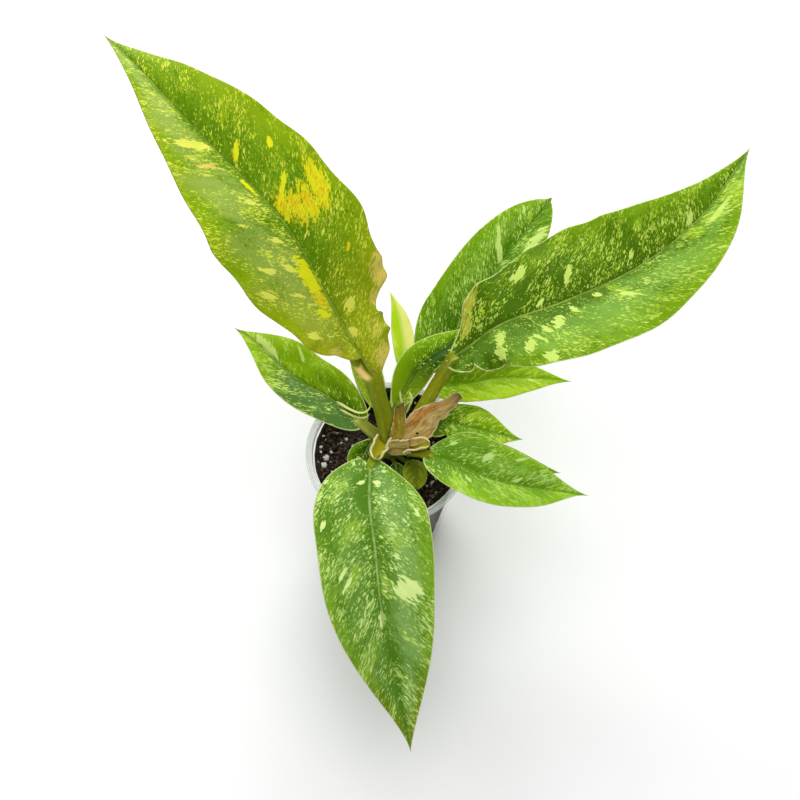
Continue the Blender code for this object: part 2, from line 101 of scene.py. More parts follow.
class Graph:
    """The node tree of one material."""

    def __init__(self, name: str) -> None:
        """Start a material with an empty tree.

        Args:
            name: The material's name.
        """
        self.material = bpy.data.materials.new(name)
        self.material.use_nodes = True
        self.tree = self.material.node_tree
        self.tree.nodes.clear()

    def node(
        self,
        kind: str,
        settings: dict[str, Any] | None = None,
        feeds: dict[str | int, Any] | None = None,
        output: str | int = 0,
    ) -> Socket | None:
        """Add one node.

        Args:
            kind: Type name of the node.
            settings: Properties, set before any socket. "stops" holds a ramp's places and colours.
            feeds: A value or a Socket for each input, by name or number.
            output: Name or number of the output that is handed back.

        Returns:
            The chosen output, or None where the node has none.
        """
        made = self.tree.nodes.new(kind)
        for name, value in (settings or {}).items():
            if name == "stops":
                self.set_stops(made.color_ramp, value)
            else:
                setattr(made, name, value)
        for name, value in (feeds or {}).items():
            self.feed(made.inputs[name], value)
        return Socket(self, made.outputs[output]) if made.outputs else None

    def feed(self, socket: bpy.types.NodeSocket, value: Any) -> None:
        """Link a Socket to an input, or set the input's own value.

        Args:
            socket: The input.
            value: A Socket, a number or a tuple. A number fills all of a vector.
        """
        if isinstance(value, Socket):
            self.tree.links.new(value.link, socket)
        elif socket.type == "RGBA":
            socket.default_value = (*value[:3], 1.0)
        elif socket.type == "VECTOR" and not isinstance(value, tuple):
            socket.default_value = (value, value, value)
        else:
            socket.default_value = value

    @staticmethod
    def set_stops(ramp: bpy.types.ColorRamp, stops: tuple[tuple[float, Colour], ...]) -> None:
        """Give a ramp its stops.

        Args:
            ramp: The ramp of a new node, which has two stops.
            stops: Place and colour of each stop, lowest place first.
        """
        for index, (place, colour) in enumerate(stops):
            stop = ramp.elements[index] if index < 2 else ramp.elements.new(place)
            stop.position = place
            stop.color = (*colour, 1.0)

    def maths(self, operation: str, *values: Any) -> Socket:
        """Work out one operation on numbers, or on vectors where any value is one.

        Args:
            operation: Name of the operation.
            values: Sockets, numbers and tuples.

        Returns:
            The result.
        """
        plain = True
        for value in values:
            vector = isinstance(value, Socket) and value.link.type != "VALUE"
            if vector or isinstance(value, tuple):
                plain = False
        kind = "ShaderNodeMath" if plain else "ShaderNodeVectorMath"
        return self.node(kind, {"operation": operation}, dict(enumerate(values)))

    def mix(self, share: Any, low: Any, high: Any) -> Socket:
        """Blend two colours: low where share is 0, high where it is 1."""
        return self.node("ShaderNodeMix", {"data_type": "RGBA"}, {0: share, 6: low, 7: high}, 2)

    def smooth(self, value: Socket, low: Any, high: Any) -> Socket:
        """Rise softly from 0 at low to 1 at high."""
        feeds = {"Value": value, "From Min": low, "From Max": high}
        return self.node("ShaderNodeMapRange", {"interpolation_type": "SMOOTHSTEP"}, feeds)

    def split(self, vector: Socket) -> tuple[Socket, Socket, Socket]:
        """Take a vector apart.

        Args:
            vector: The vector.

        Returns:
            Its three parts, as numbers.
        """
        parts = self.node("ShaderNodeSeparateXYZ", {}, {0: vector}).link.node
        return tuple(Socket(self, output) for output in parts.outputs)

    def join(self, x: Any, y: Any, z: Any = 0.0) -> Socket:
        """Put three numbers together as a vector."""
        return self.node("ShaderNodeCombineXYZ", {}, {0: x, 1: y, 2: z})

    def values(self, name: str) -> tuple[Socket, Socket, Socket]:
        """Read a piece's own point values, three to a name."""
        return self.split(self.node("ShaderNodeAttribute", {"attribute_name": name}, {}, "Vector"))

    def place(self) -> Socket:
        """Where a point of the piece is, in millimetres."""
        return self.node("ShaderNodeTexCoord", {}, {}, "Object") * (1000.0, 1000.0, 1000.0)

    def noise(self, place: Socket, scale: float = 1.0, detail: float = 2.0, rough: float = 0.5) -> Socket:
        """Read soft noise, mostly between 0.3 and 0.7.

        Args:
            place: Where it is read.
            scale: Lumps a unit of place.
            detail: Octaves of finer lumps.
            rough: How strong the finer lumps are.

        Returns:
            The noise.
        """
        feeds = {"Vector": place, "Scale": scale, "Detail": detail, "Roughness": rough}
        return self.node("ShaderNodeTexNoise", {}, feeds)

    def cells(
        self, place: Socket, scale: float = 1.0, dimensions: str = "2D"
    ) -> tuple[Socket, Socket, Socket]:
        """Read a sheet or a block of ragged cells.

        Args:
            place: Where they are read.
            scale: Cells a unit of place.
            dimensions: "2D" for a sheet, "3D" for a block.

        Returns:
            How far each point is from its cell's heart, and two chances that are the same all over a cell.
        """
        settings = {"voronoi_dimensions": dimensions, "feature": "F1"}
        feeds = {"Vector": place, "Scale": scale, "Randomness": 1.0}
        apart = self.node("ShaderNodeTexVoronoi", settings, feeds, "Distance")
        first, second, _ = self.split(Socket(self, apart.link.node.outputs["Color"]))
        return apart, first, second

    def surface(
        self, feeds: dict[str, Any], height: Socket | None = None, depth: float = 0.1
    ) -> bpy.types.Material:
        """Close the material with its shader.

        Args:
            feeds: Values and links of the shader's sockets.
            height: Relief between 0 and 1, or None.
            depth: The relief's depth in millimetres.

        Returns:
            The finished material.
        """
        if height is not None:
            bump = {"Height": height, "Distance": depth * MM, "Strength": 1.0}
            feeds = {**feeds, "Normal": self.node("ShaderNodeBump", {}, bump)}
        shader = self.node("ShaderNodeBsdfPrincipled", {}, feeds)
        self.node("ShaderNodeOutputMaterial", {}, {"Surface": shader})
        return self.material


def new_object(name: str, data: bpy.types.ID) -> bpy.types.Object:
    """Make an object and link it to the scene.

    Args:
        name: Its name.
        data: Its mesh, lamp or camera.

    Returns:
        The new object.
    """
    obj = bpy.data.objects.new(name, data)
    bpy.context.scene.collection.objects.link(obj)
    return obj


@dataclass
class Shape:
    """Points, faces and named point values of one piece."""

    points: np.ndarray
    faces: list[tuple[int, ...]]
    values: dict[str, np.ndarray] = field(default_factory=dict)

    @staticmethod
    def loft(
        rings: np.ndarray, poles: np.ndarray, values: dict[str, tuple[np.ndarray, np.ndarray]]
    ) -> "Shape":
        """Skin a row of closed rings and close each end on one point.

        Args:
            rings: Points, as row by corner by axis, turning anticlockwise seen from the last row.
            poles: The end points before the first row and after the last.
            values: For each name, the rings' values and the poles' values.

        Returns:
            A closed shape.
        """
        rows, corners = rings.shape[:2]
        first = np.arange(rows - 1)[:, None] * corners
        here = np.arange(corners)[None, :]
        there = (here + 1) % corners
        quads = np.stack([first + here, first + there, first + there + corners, first + here + corners], -1)
        faces = [tuple(quad) for quad in quads.reshape(-1, 4).tolist()]
        start, end = rows * corners, rows * corners + 1
        last = (rows - 1) * corners
        for corner in range(corners):
            after = (corner + 1) % corners
            faces.append((start, after, corner))
            faces.append((end, last + corner, last + after))
        points = np.concatenate([rings.reshape(-1, 3), poles])
        told = {name: np.concatenate([ring.reshape(-1, 3), pole]) for name, (ring, pole) in values.items()}
        return Shape(points, faces, told)

    @staticmethod
    def join(shapes: list["Shape"]) -> "Shape":
        """Put shapes together as one.

        Args:
            shapes: The shapes, whose values have the same names.

        Returns:
            The one shape.
        """
        points, faces, count = [], [], 0
        for shape in shapes:
            points.append(shape.points)
            faces += [tuple(corner + count for corner in face) for face in shape.faces]
            count += len(shape.points)
        names = shapes[0].values
        values = {name: np.concatenate([shape.values[name] for shape in shapes]) for name in names}
        return Shape(np.concatenate(points), faces, values)

    def piece(self, name: str, node: str, slot: str, material: bpy.types.Material) -> bpy.types.Object:
        """Make the shape a piece of the plant.

        Args:
            name: The piece's name.
            node: The CAD node that it stands for.
            slot: The record's material slot; not used.
            material: Its finish.

        Returns:
            The new object.
        """
        mesh = bpy.data.meshes.new(name)
        mesh.from_pydata((self.points * MM).tolist(), [], self.faces)
        for label, told in self.values.items():
            attribute = mesh.attributes.new(label, "FLOAT_VECTOR", "POINT")
            attribute.data.foreach_set("vector", told.astype(np.float32).ravel())
        mesh.shade_smooth()
        mesh.materials.append(material)
        obj = new_object(name, mesh)
        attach(obj, BODY)
        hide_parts(node)
        LOG.info("%s: %d faces, finish %s", name, len(self.faces), material.name)
        return obj


class Spine:
    """A smooth route through a few points, read at any shares of its length."""

    SAMPLES = 513
    STEPS_A_SPAN = 64
    NEAR = 0.03

    def __init__(self, route: Route, side_hint: np.ndarray | None = None) -> None:
        """Lay the route.

        Args:
            route: The points that it passes.
            side_hint: A direction near its right-hand side, or None to keep that side level.
        """
        knots = np.array(route, float)
        knots = np.vstack([2 * knots[0] - knots[1], knots, 2 * knots[-1] - knots[-2]])
        u = (np.arange(self.STEPS_A_SPAN) / self.STEPS_A_SPAN)[:, None]
        fine = []
        for a, b, c, d in zip(knots, knots[1:], knots[2:], knots[3:]):
            bend = (2 * a - 5 * b + 4 * c - d) * u**2 + (3 * b - a - 3 * c + d) * u**3
            fine.append(0.5 * (2 * b + (c - a) * u + bend))
        fine = np.vstack([*fine, knots[-2]])
        along = np.concatenate([[0.0], np.cumsum(np.linalg.norm(np.diff(fine, axis=0), axis=1))])
        self.length = float(along[-1])
        self.side_hint = side_hint
        at = np.linspace(0.0, self.length, self.SAMPLES)
        self.points = np.stack([np.interp(at, along, fine[:, axis]) for axis in range(3)], -1)

    def place(self, share: np.ndarray) -> np.ndarray:
        """Points at shares of the length, going straight on past either end.

        Args:
            share: Shares of the length, in any shape.

        Returns:
            A point for each.
        """
        at = np.asarray(share, float) * (self.SAMPLES - 1)
        index = np.clip(at.astype(int), 0, self.SAMPLES - 2)
        part = (at - index)[..., None]
        return self.points[index] + (self.points[index + 1] - self.points[index]) * part

    def frame(self, share: np.ndarray) -> tuple[np.ndarray, np.ndarray, np.ndarray]:
        """Read the route's own directions.

        Args:
            share: Shares of the length, in any shape.

        Returns:
            The point, the right-hand side and the face at each.
        """
        near = np.clip(share, 0.0, 1.0)
        direction = unit(self.place(near + self.NEAR) - self.place(near - self.NEAR))
        side = np.cross(direction, (0.0, 0.0, 1.0)) if self.side_hint is None else self.side_hint
        side = unit(side - direction * (side * direction).sum(-1, keepdims=True))
        return self.place(share), side, np.cross(side, direction)


def unit(vectors: np.ndarray) -> np.ndarray:
    """Scale vectors to length 1."""
    return vectors / np.maximum(np.linalg.norm(vectors, axis=-1, keepdims=True), 1e-9)


def ease(value: np.ndarray, low: float, high: float) -> np.ndarray:
    """Rise softly from 0 at low to 1 at high."""
    part = np.clip((value - low) / (high - low), 0.0, 1.0)
    return part * part * (3 - 2 * part)


def bell(value: np.ndarray, centre: float, reach: float) -> np.ndarray:
    """A hump of height 1 round a centre."""
    return np.exp(-(((value - centre) / reach) ** 2))


class Side(Enum):
    """A side of a blade, looking from its base to its tip."""

    LEFT = -1
    RIGHT = 1


class Tone(Enum):
    """What a mark on a blade is coloured with: the number is its place in the point values."""

    CREAM = 0
    LIME = 1
    ORANGE = 2
    YELLOW = 3
    PEACH = 4
    GOLD = 5


@dataclass(frozen=True)
class Margin:
    """One side of a blade: its half width, where it is widest, and how full its ends are."""

    width: float
    widest: float = 0.4
    blunt: float = 0.55
    full: float = 2.2
    drip: float = 1.5

    def fullness(self, share: np.ndarray) -> np.ndarray:
        """How much of its greatest width the margin has.

        Args:
            share: Shares of the length.

        Returns:
            From 0 to 1 for each.
        """
        low = (1 - (1 - np.minimum(share, self.widest) / self.widest) ** 2) ** self.blunt
        beyond = np.clip((share - self.widest) / (1 - self.widest), 0.0, 1.0)
        return np.where(share < self.widest, low, (1 - beyond**self.full) ** self.drip)


@dataclass(frozen=True)
class Wave:
    """A margin that rises and falls, and swings in and out, along the blade."""

    height: float = 0.0
    swing: float = 0.0
    count: float = 5.0
    at_tip: float = 0.3
    phase: float = 0.0


@dataclass(frozen=True)
class Ruffle:
    """A short crimped stretch of one margin."""

    side: Side
    share: float
    reach: float
    height: float
    pitch: float
    lift: float = 0.0
    phase: float = 0.0


@dataclass(frozen=True)
class Dent:
    """A place where one margin stands in, or out where its depth is below 0."""

    side: Side
    share: float
    depth: float
    reach: float


@dataclass(frozen=True)
class Mark:
    """A patch of another colour, which runs along the side veins, or square to the midrib at lean 0."""

    tone: Tone
    share: float
    across: float
    length: float
    width: float
    lean: float = 1.0


def patches(tone: Tone, *places: tuple[float, ...]) -> tuple[Mark, ...]:
    """Set out the marks of one tone.

    Args:
        tone: Their tone.
        places: For each its share, across, length and width, and its lean where that isn't 1.

    Returns:
        The marks.
    """
    return tuple(Mark(tone, *place) for place in places)


@dataclass(frozen=True)
class Blade:
    """A leaf's blade round its midrib."""

    rib: Route
    left: Margin
    right: Margin
    lobe: float = 3.0
    fold: float = 8.0
    wave: Wave = Wave()
    ruffles: tuple[Ruffle, ...] = ()
    dents: tuple[Dent, ...] = ()
    marks: tuple[Mark, ...] = ()
    buckle: float = 0.15
    buckles: int = 5
    spacing: float = 0.8
    seed: int = 1
    lobe_reach: float = 0.16
    left_phase: float = 1.9
    wave_fullness: float = 1.6
    thick: float = 0.5
    thin: float = 0.22
    groove: float = 0.25
    valley: float = 1.0
    valley_reach: float = 5.0
    droop: float = 0.8
    vein_slope: float = 0.6
    vein_turn: float = 0.2
    vein_bend: float = 0.2
    vein_gap: float = 5.5
    vein_rise: float = 0.07
    point: float = 0.0
    sheet_shift: float = 61.0
    broad_width: float = 9.0
    least_width: float = 0.02
    least_rows: int = 48
    least_half: int = 12
    unmarked: float = -1.5
    mark_share: float = 0.8

    def widths(self, share: np.ndarray, across: np.ndarray) -> tuple[np.ndarray, np.ndarray, np.ndarray]:
        """How wide the blade is on the side of each point.

        Args:
            share: Shares of the length.
            across: From -1 at the left margin to 1 at the right.

        Returns:
            Width in millimetres, rise of the margin's waves, and fullness.
        """
        right = across > 0
        fullness = np.where(right, self.right.fullness(share), self.left.fullness(share))
        phase = self.wave.phase + np.where(right, 0.0, self.left_phase)
        cycle = 2 * np.pi * self.wave.count * share + phase
        strength = self.wave.at_tip * share + (1 - share) ** 2
        strength = strength * np.minimum(1.0, fullness * self.wave_fullness)
        width = np.where(right, self.right.width, self.left.width) * fullness
        width = width + self.wave.swing * strength * np.cos(cycle)
        rise = self.wave.height * strength * across**2 * np.sin(cycle)
        for dent in self.dents:
            width = width - (across * dent.side.value > 0) * dent.depth * bell(share, dent.share, dent.reach)
        for ruffle in self.ruffles:
            local = bell(share, ruffle.share, ruffle.reach) * (across * ruffle.side.value > 0)
            turn = 2 * np.pi * (share - ruffle.share) / ruffle.pitch + ruffle.phase
            rise = rise + local * np.abs(across) ** 3 * (ruffle.height * np.sin(turn) + ruffle.lift)
        return np.maximum(width, self.least_width), rise, fullness

    def sheet(self, spine: Spine, share: np.ndarray, across: np.ndarray) -> np.ndarray:
        """Points of the blade before its relief.

        Args:
            spine: The midrib.
            share: Shares of its length.
            across: From -1 at the left margin to 1 at the right.

        Returns:
            A point for each.
        """
        out = np.abs(across)
        width, rise, _ = self.widths(share, across)
        back = self.lobe * out**1.5 * np.maximum(0.0, 1 - share / self.lobe_reach) ** 2
        centre, side, face = spine.frame(share - back / spine.length)
        fold = math.radians(self.fold)
        reach = (width * across * math.cos(fold))[..., None]
        lift = (width * out * math.sin(fold) + rise)[..., None]
        return centre + side * reach + face * lift

    def vein_place(self, along: np.ndarray, away: np.ndarray, length: float) -> np.ndarray:
        """Where on the midrib the side vein through each point starts.

        Args:
            along: Millimetres along the midrib.
            away: Millimetres from the midrib, of either sign.
            length: The midrib's length.

        Returns:
            Millimetres along the midrib.
        """
        out = np.abs(away)
        slope = self.vein_slope + self.vein_turn * along / length
        return along - slope * out - self.vein_bend * out**2 / max(self.left.width, self.right.width)

    def mark_fields(self, spine: Spine, vein: np.ndarray, along: np.ndarray, away: np.ndarray) -> np.ndarray:
        """How far inside each kind of mark every point is: above 0 inside, below 0 outside.

        Args:
            spine: The midrib.
            vein: Where each point's side vein starts.
            along: Millimetres along the midrib.
            away: Millimetres from the midrib.

        Returns:
            Six values a point, one for each tone.
        """
        fields = np.full((*vein.shape, len(Tone)), self.unmarked)
        for mark in self.marks:
            at = np.array(mark.share), np.array(mark.across)
            centre, along_mark = float(self.widths(*at)[0]) * mark.across, mark.share * spine.length
            start = float(self.vein_place(np.array(along_mark), np.array(centre), spine.length))
            past = (vein - start) * mark.lean + (along - along_mark) * (1 - mark.lean)
            off = np.hypot(past / (mark.width / 2), (away - centre) / (mark.length * self.mark_share / 2))
            tone = mark.tone.value
            fields[..., tone] = np.maximum(fields[..., tone], 1 - off)
        return fields

    def relief(self, vein: np.ndarray, along: np.ndarray, away: np.ndarray, width: np.ndarray) -> np.ndarray:
        """How far the surface stands up: a sunk midrib, arched halves, low veins and slow buckles.

        Args:
            vein: Where each point's side vein starts.
            along: Millimetres along the midrib.
            away: Millimetres from the midrib.
            width: The blade's width on that side.

        Returns:
            Millimetres along the surface's normal.
        """
        rng = np.random.default_rng(self.seed)
        ribs = -self.vein_rise * np.cos(2 * np.pi * vein / self.vein_gap) * ease(np.abs(away), 0.5, 4.0)
        out = np.abs(away) / width
        broad = np.minimum(1.0, width / self.broad_width)
        rise = ribs * (1 - 0.6 * out**2) - self.groove * broad * bell(away, 0.0, 0.9)
        rise = rise - broad * (self.valley * np.exp(-np.abs(away) / self.valley_reach) + self.droop * out**3)
        for _ in range(self.buckles):
            length, angle, phase = rng.uniform(16, 42), rng.uniform(0, np.pi), rng.uniform(0, 2 * np.pi)
            run = (along * np.cos(angle) + away * np.sin(angle)) / length
            rise = rise + self.buckle * np.sin(2 * np.pi * run + phase) * ease(np.abs(away), 0.0, 6.0)
        return rise

    def shape(self) -> Shape:
        """Build the blade as one closed sheet with a rounded rim.

        Returns:
            The shape, with leaf_flat, leaf_zone, leaf_marks and leaf_more.
        """
        spine = Spine(self.rib)
        rows = max(self.least_rows, round(spine.length / self.spacing))
        half = max(self.least_half, round(max(self.left.width, self.right.width) / self.spacing))
        step = np.arange(1, rows) / rows
        step = 0.5 * step + 0.5 * (0.5 - 0.5 * np.cos(np.pi * step**0.85))
        share, across = np.meshgrid(step, np.linspace(-1, 1, 2 * half + 1), indexing="ij")
        width, _, _ = self.widths(share, across)
        along, away = share * spine.length, across * width
        vein = self.vein_place(along, away, spine.length)
        points = self.sheet(spine, share, across)
        points = points + normals(points) * self.relief(vein, along, away, width)[..., None]
        half_thick = 0.5 * (self.thick + (self.thin - self.thick) * across**2) * ease(share, 1.02, 0.93)
        flat = np.stack([vein + self.sheet_shift * self.seed, away, along], -1)
        marks = self.mark_fields(spine, vein, along, away)
        edge = (1 - np.abs(across)) * width
        zones = [np.stack([edge, np.full_like(edge, top), share], -1) for top in (1.0, 0.0)]
        around = {"leaf_flat": (flat, flat), "leaf_zone": zones,
                  "leaf_marks": [marks[..., :3]] * 2, "leaf_more": [marks[..., 3:]] * 2}
        poles = spine.place(np.array([0.0, 1.0 + self.point / spine.length]))
        return shell(points, half_thick, around, poles)


def normals(points: np.ndarray) -> np.ndarray:
    """Upward normals of a grid of points."""
    return unit(np.cross(np.gradient(points, axis=1), np.gradient(points, axis=0)))


def shell(
    points: np.ndarray, half_thick: np.ndarray, around: dict[str, Any], poles: np.ndarray | None = None
) -> Shape:
    """Give a grid of points a thickness and a rounded rim.

    Args:
        points: Points, as row by column by axis, the columns from the left side to the right.
        half_thick: Half the thickness at each point.
        around: For each name, the values of the upper and the lower face.
        poles: The sheet's first and last points, or None for the middle of its end rows.

    Returns:
        A closed shape.
    """
    face = normals(points) * half_thick[..., None]
    rims = []
    for edge, inner in ((0, 1), (-1, -2)):
        outward = unit(points[:, edge] - points[:, inner])
        rims.append(points[:, edge] + outward * half_thick[:, edge, None])
    rings = np.concatenate([rims[0][:, None], points + face, rims[1][:, None], (points - face)[:, ::-1]], 1)
    middle = points.shape[1] // 2 + 1
    values = {}
    for name, (top, bottom) in around.items():
        ring = np.concatenate([top[:, :1], top, top[:, -1:], bottom[:, ::-1]], 1)
        values[name] = (ring, np.stack([ring[0, middle], ring[-1, middle]]))
    ends = points[[0, -1], middle - 1] if poles is None else poles
    return Shape.loft(rings, ends, values)


class StalkSkin:
    """A skin of closed rows, with what a stalk's finish reads at each point."""

    def __init__(self) -> None:
        """Start with no rows."""
        self.rings: list[np.ndarray] = []
        self.flats: list[np.ndarray] = []
        self.zones: list[np.ndarray] = []

    def add(
        self, axes: tuple[np.ndarray, ...], flat: np.ndarray, radius: float, along: float, share: float,
        near: Any = 0.0, inside: Any = 0.0, corner: np.ndarray | None = None,
    ) -> None:
        """Add a row.

        Args:
            axes: The row's centre, its right-hand side and its face.
            flat: The row's points, as right-hand side by face.
            radius: The piece's radius or half width there.
            along: Millimetres from the foot.
            share: How far along the piece the row is: 1 at a stalk's top, up to 2 at the blade's tip.
            near: How near each point is to a sheath's rim, from 0 to 1.
            inside: 1 on the inside of a sheath.
            corner: Where round the row each point is, from -1 to 1, or None for even steps.
        """
        centre, side, face = axes
        corner = np.linspace(-1, 1, len(flat)) if corner is None else corner
        level = np.ones_like(corner)
        self.rings.append(centre + side * flat[:, :1] + face * flat[:, 1:])
        self.flats.append(np.stack([corner * radius, level * along, level * radius], -1))
        self.zones.append(np.stack([level * near, level * share, level * inside], -1))

    def shape(self) -> Shape:
        """Close the skin.

        Returns:
            The shape, with stalk_flat and stalk_zone.
        """
        rings, flats, zones = np.array(self.rings), np.array(self.flats), np.array(self.zones)
        ends = [0, -1]
        values = {"stalk_flat": (flats, flats[ends, 0]), "stalk_zone": (zones, zones[ends, 0])}
        return Shape.loft(rings, rings[ends].mean(1), values)


@dataclass(frozen=True)
class Stalk:
    """A stalk from the stem to the blade, and the midrib under the blade."""

    route: Route
    base_radius: float
    top_radius: float
    seed: int = 1
    wrap: float = 130.0
    groove: float = 0.25
    ridges: int = 7
    ridge: float = 0.025
    rib_share: float = 0.94
    rib_tip: float = 0.2
    rib_taper: float = 0.7
    rib_sink: float = 0.78
    sink_reach: float = 0.05
    outer: int = 29
    inner: int = 13
    step: float = 0.7

    def section(self, radius: float) -> np.ndarray:
        """One section: a round, faintly ridged back and a front with a shallow groove.

        Args:
            radius: The stalk's radius there.

        Returns:
            Points as right-hand side by face.
        """
        wrap = math.radians(self.wrap)
        angle = np.linspace(wrap, -wrap, self.outer)
        ridged = radius * (1 + self.ridge * np.cos(self.ridges * angle + self.seed))
        back = np.stack([ridged * np.sin(angle), -ridged * np.cos(angle)], -1)
        part = np.arange(self.inner, 0, -1) / (self.inner + 1)
        rim_x, rim_y = radius * math.sin(wrap), -radius * math.cos(wrap)
        front = np.stack([rim_x * (1 - 2 * part), rim_y - self.groove * radius * np.sin(np.pi * part)], -1)
        return np.concatenate([back, front])

    def shape(self, blade: Blade) -> Shape:
        """Build the stalk and, past its top, the midrib's ridge under the blade.

        Args:
            blade: The blade.

        Returns:
            The shape, with stalk_flat and stalk_zone.
        """
        spine, skin = Spine(blade.rib), StalkSkin()
        path = Spine(self.route, spine.frame(np.array(0.0))[1])
        steps = max(10, round(path.length / self.step))
        for share in [step / steps for step in range(steps)]:
            radius = self.base_radius + (self.top_radius - self.base_radius) * share
            skin.add(path.frame(np.array(share)), self.section(radius), radius, share * path.length, share)
        rib_steps = max(20, round(spine.length * self.rib_share / (2 * self.step)))
        for past in [step / rib_steps for step in range(rib_steps + 1)]:
            share = self.rib_share * past
            radius = self.top_radius + (self.rib_tip - self.top_radius) * past**self.rib_taper
            centre, side, face = spine.frame(np.array(share))
            widths = [float(blade.widths(np.array(share), np.array(way))[0]) for way in (-0.01, 0.01)]
            dip = (blade.valley + blade.groove) * min(1.0, max(*widths, 0.1) / blade.broad_width)
            sunk = dip + radius * self.rib_sink * min(1.0, share / self.sink_reach)
            along = path.length + share * spine.length
            skin.add((centre - face * sunk, side, face), self.section(radius), radius, along, 1 + share)
        return skin.shape()


@dataclass(frozen=True)
class LeafSpot:
    """What a leaf's finish knows of each point: places in millimetres, shares of the blade and noises."""

    g: Graph
    vein: Socket
    away: Socket
    along: Socket
    out: Socket
    edge: Socket
    share: Socket
    far: Socket
    jag: Socket
    streak: Socket


@dataclass(frozen=True)
class FleckLayer:
    """Flecks of one size: cells a millimetre across and along the side veins, how rare and how strong."""

    across: float
    along: float
    rarity: float
    shift: float
    strength: float


FLECK_LAYERS = (
    FleckLayer(2.1, 1.15, 0.8, 17.0, 0.85),
    FleckLayer(1.2, 0.6, 0.9, 23.0, 0.92),
    FleckLayer(0.8, 0.42, 0.99, 31.0, 0.95),
)


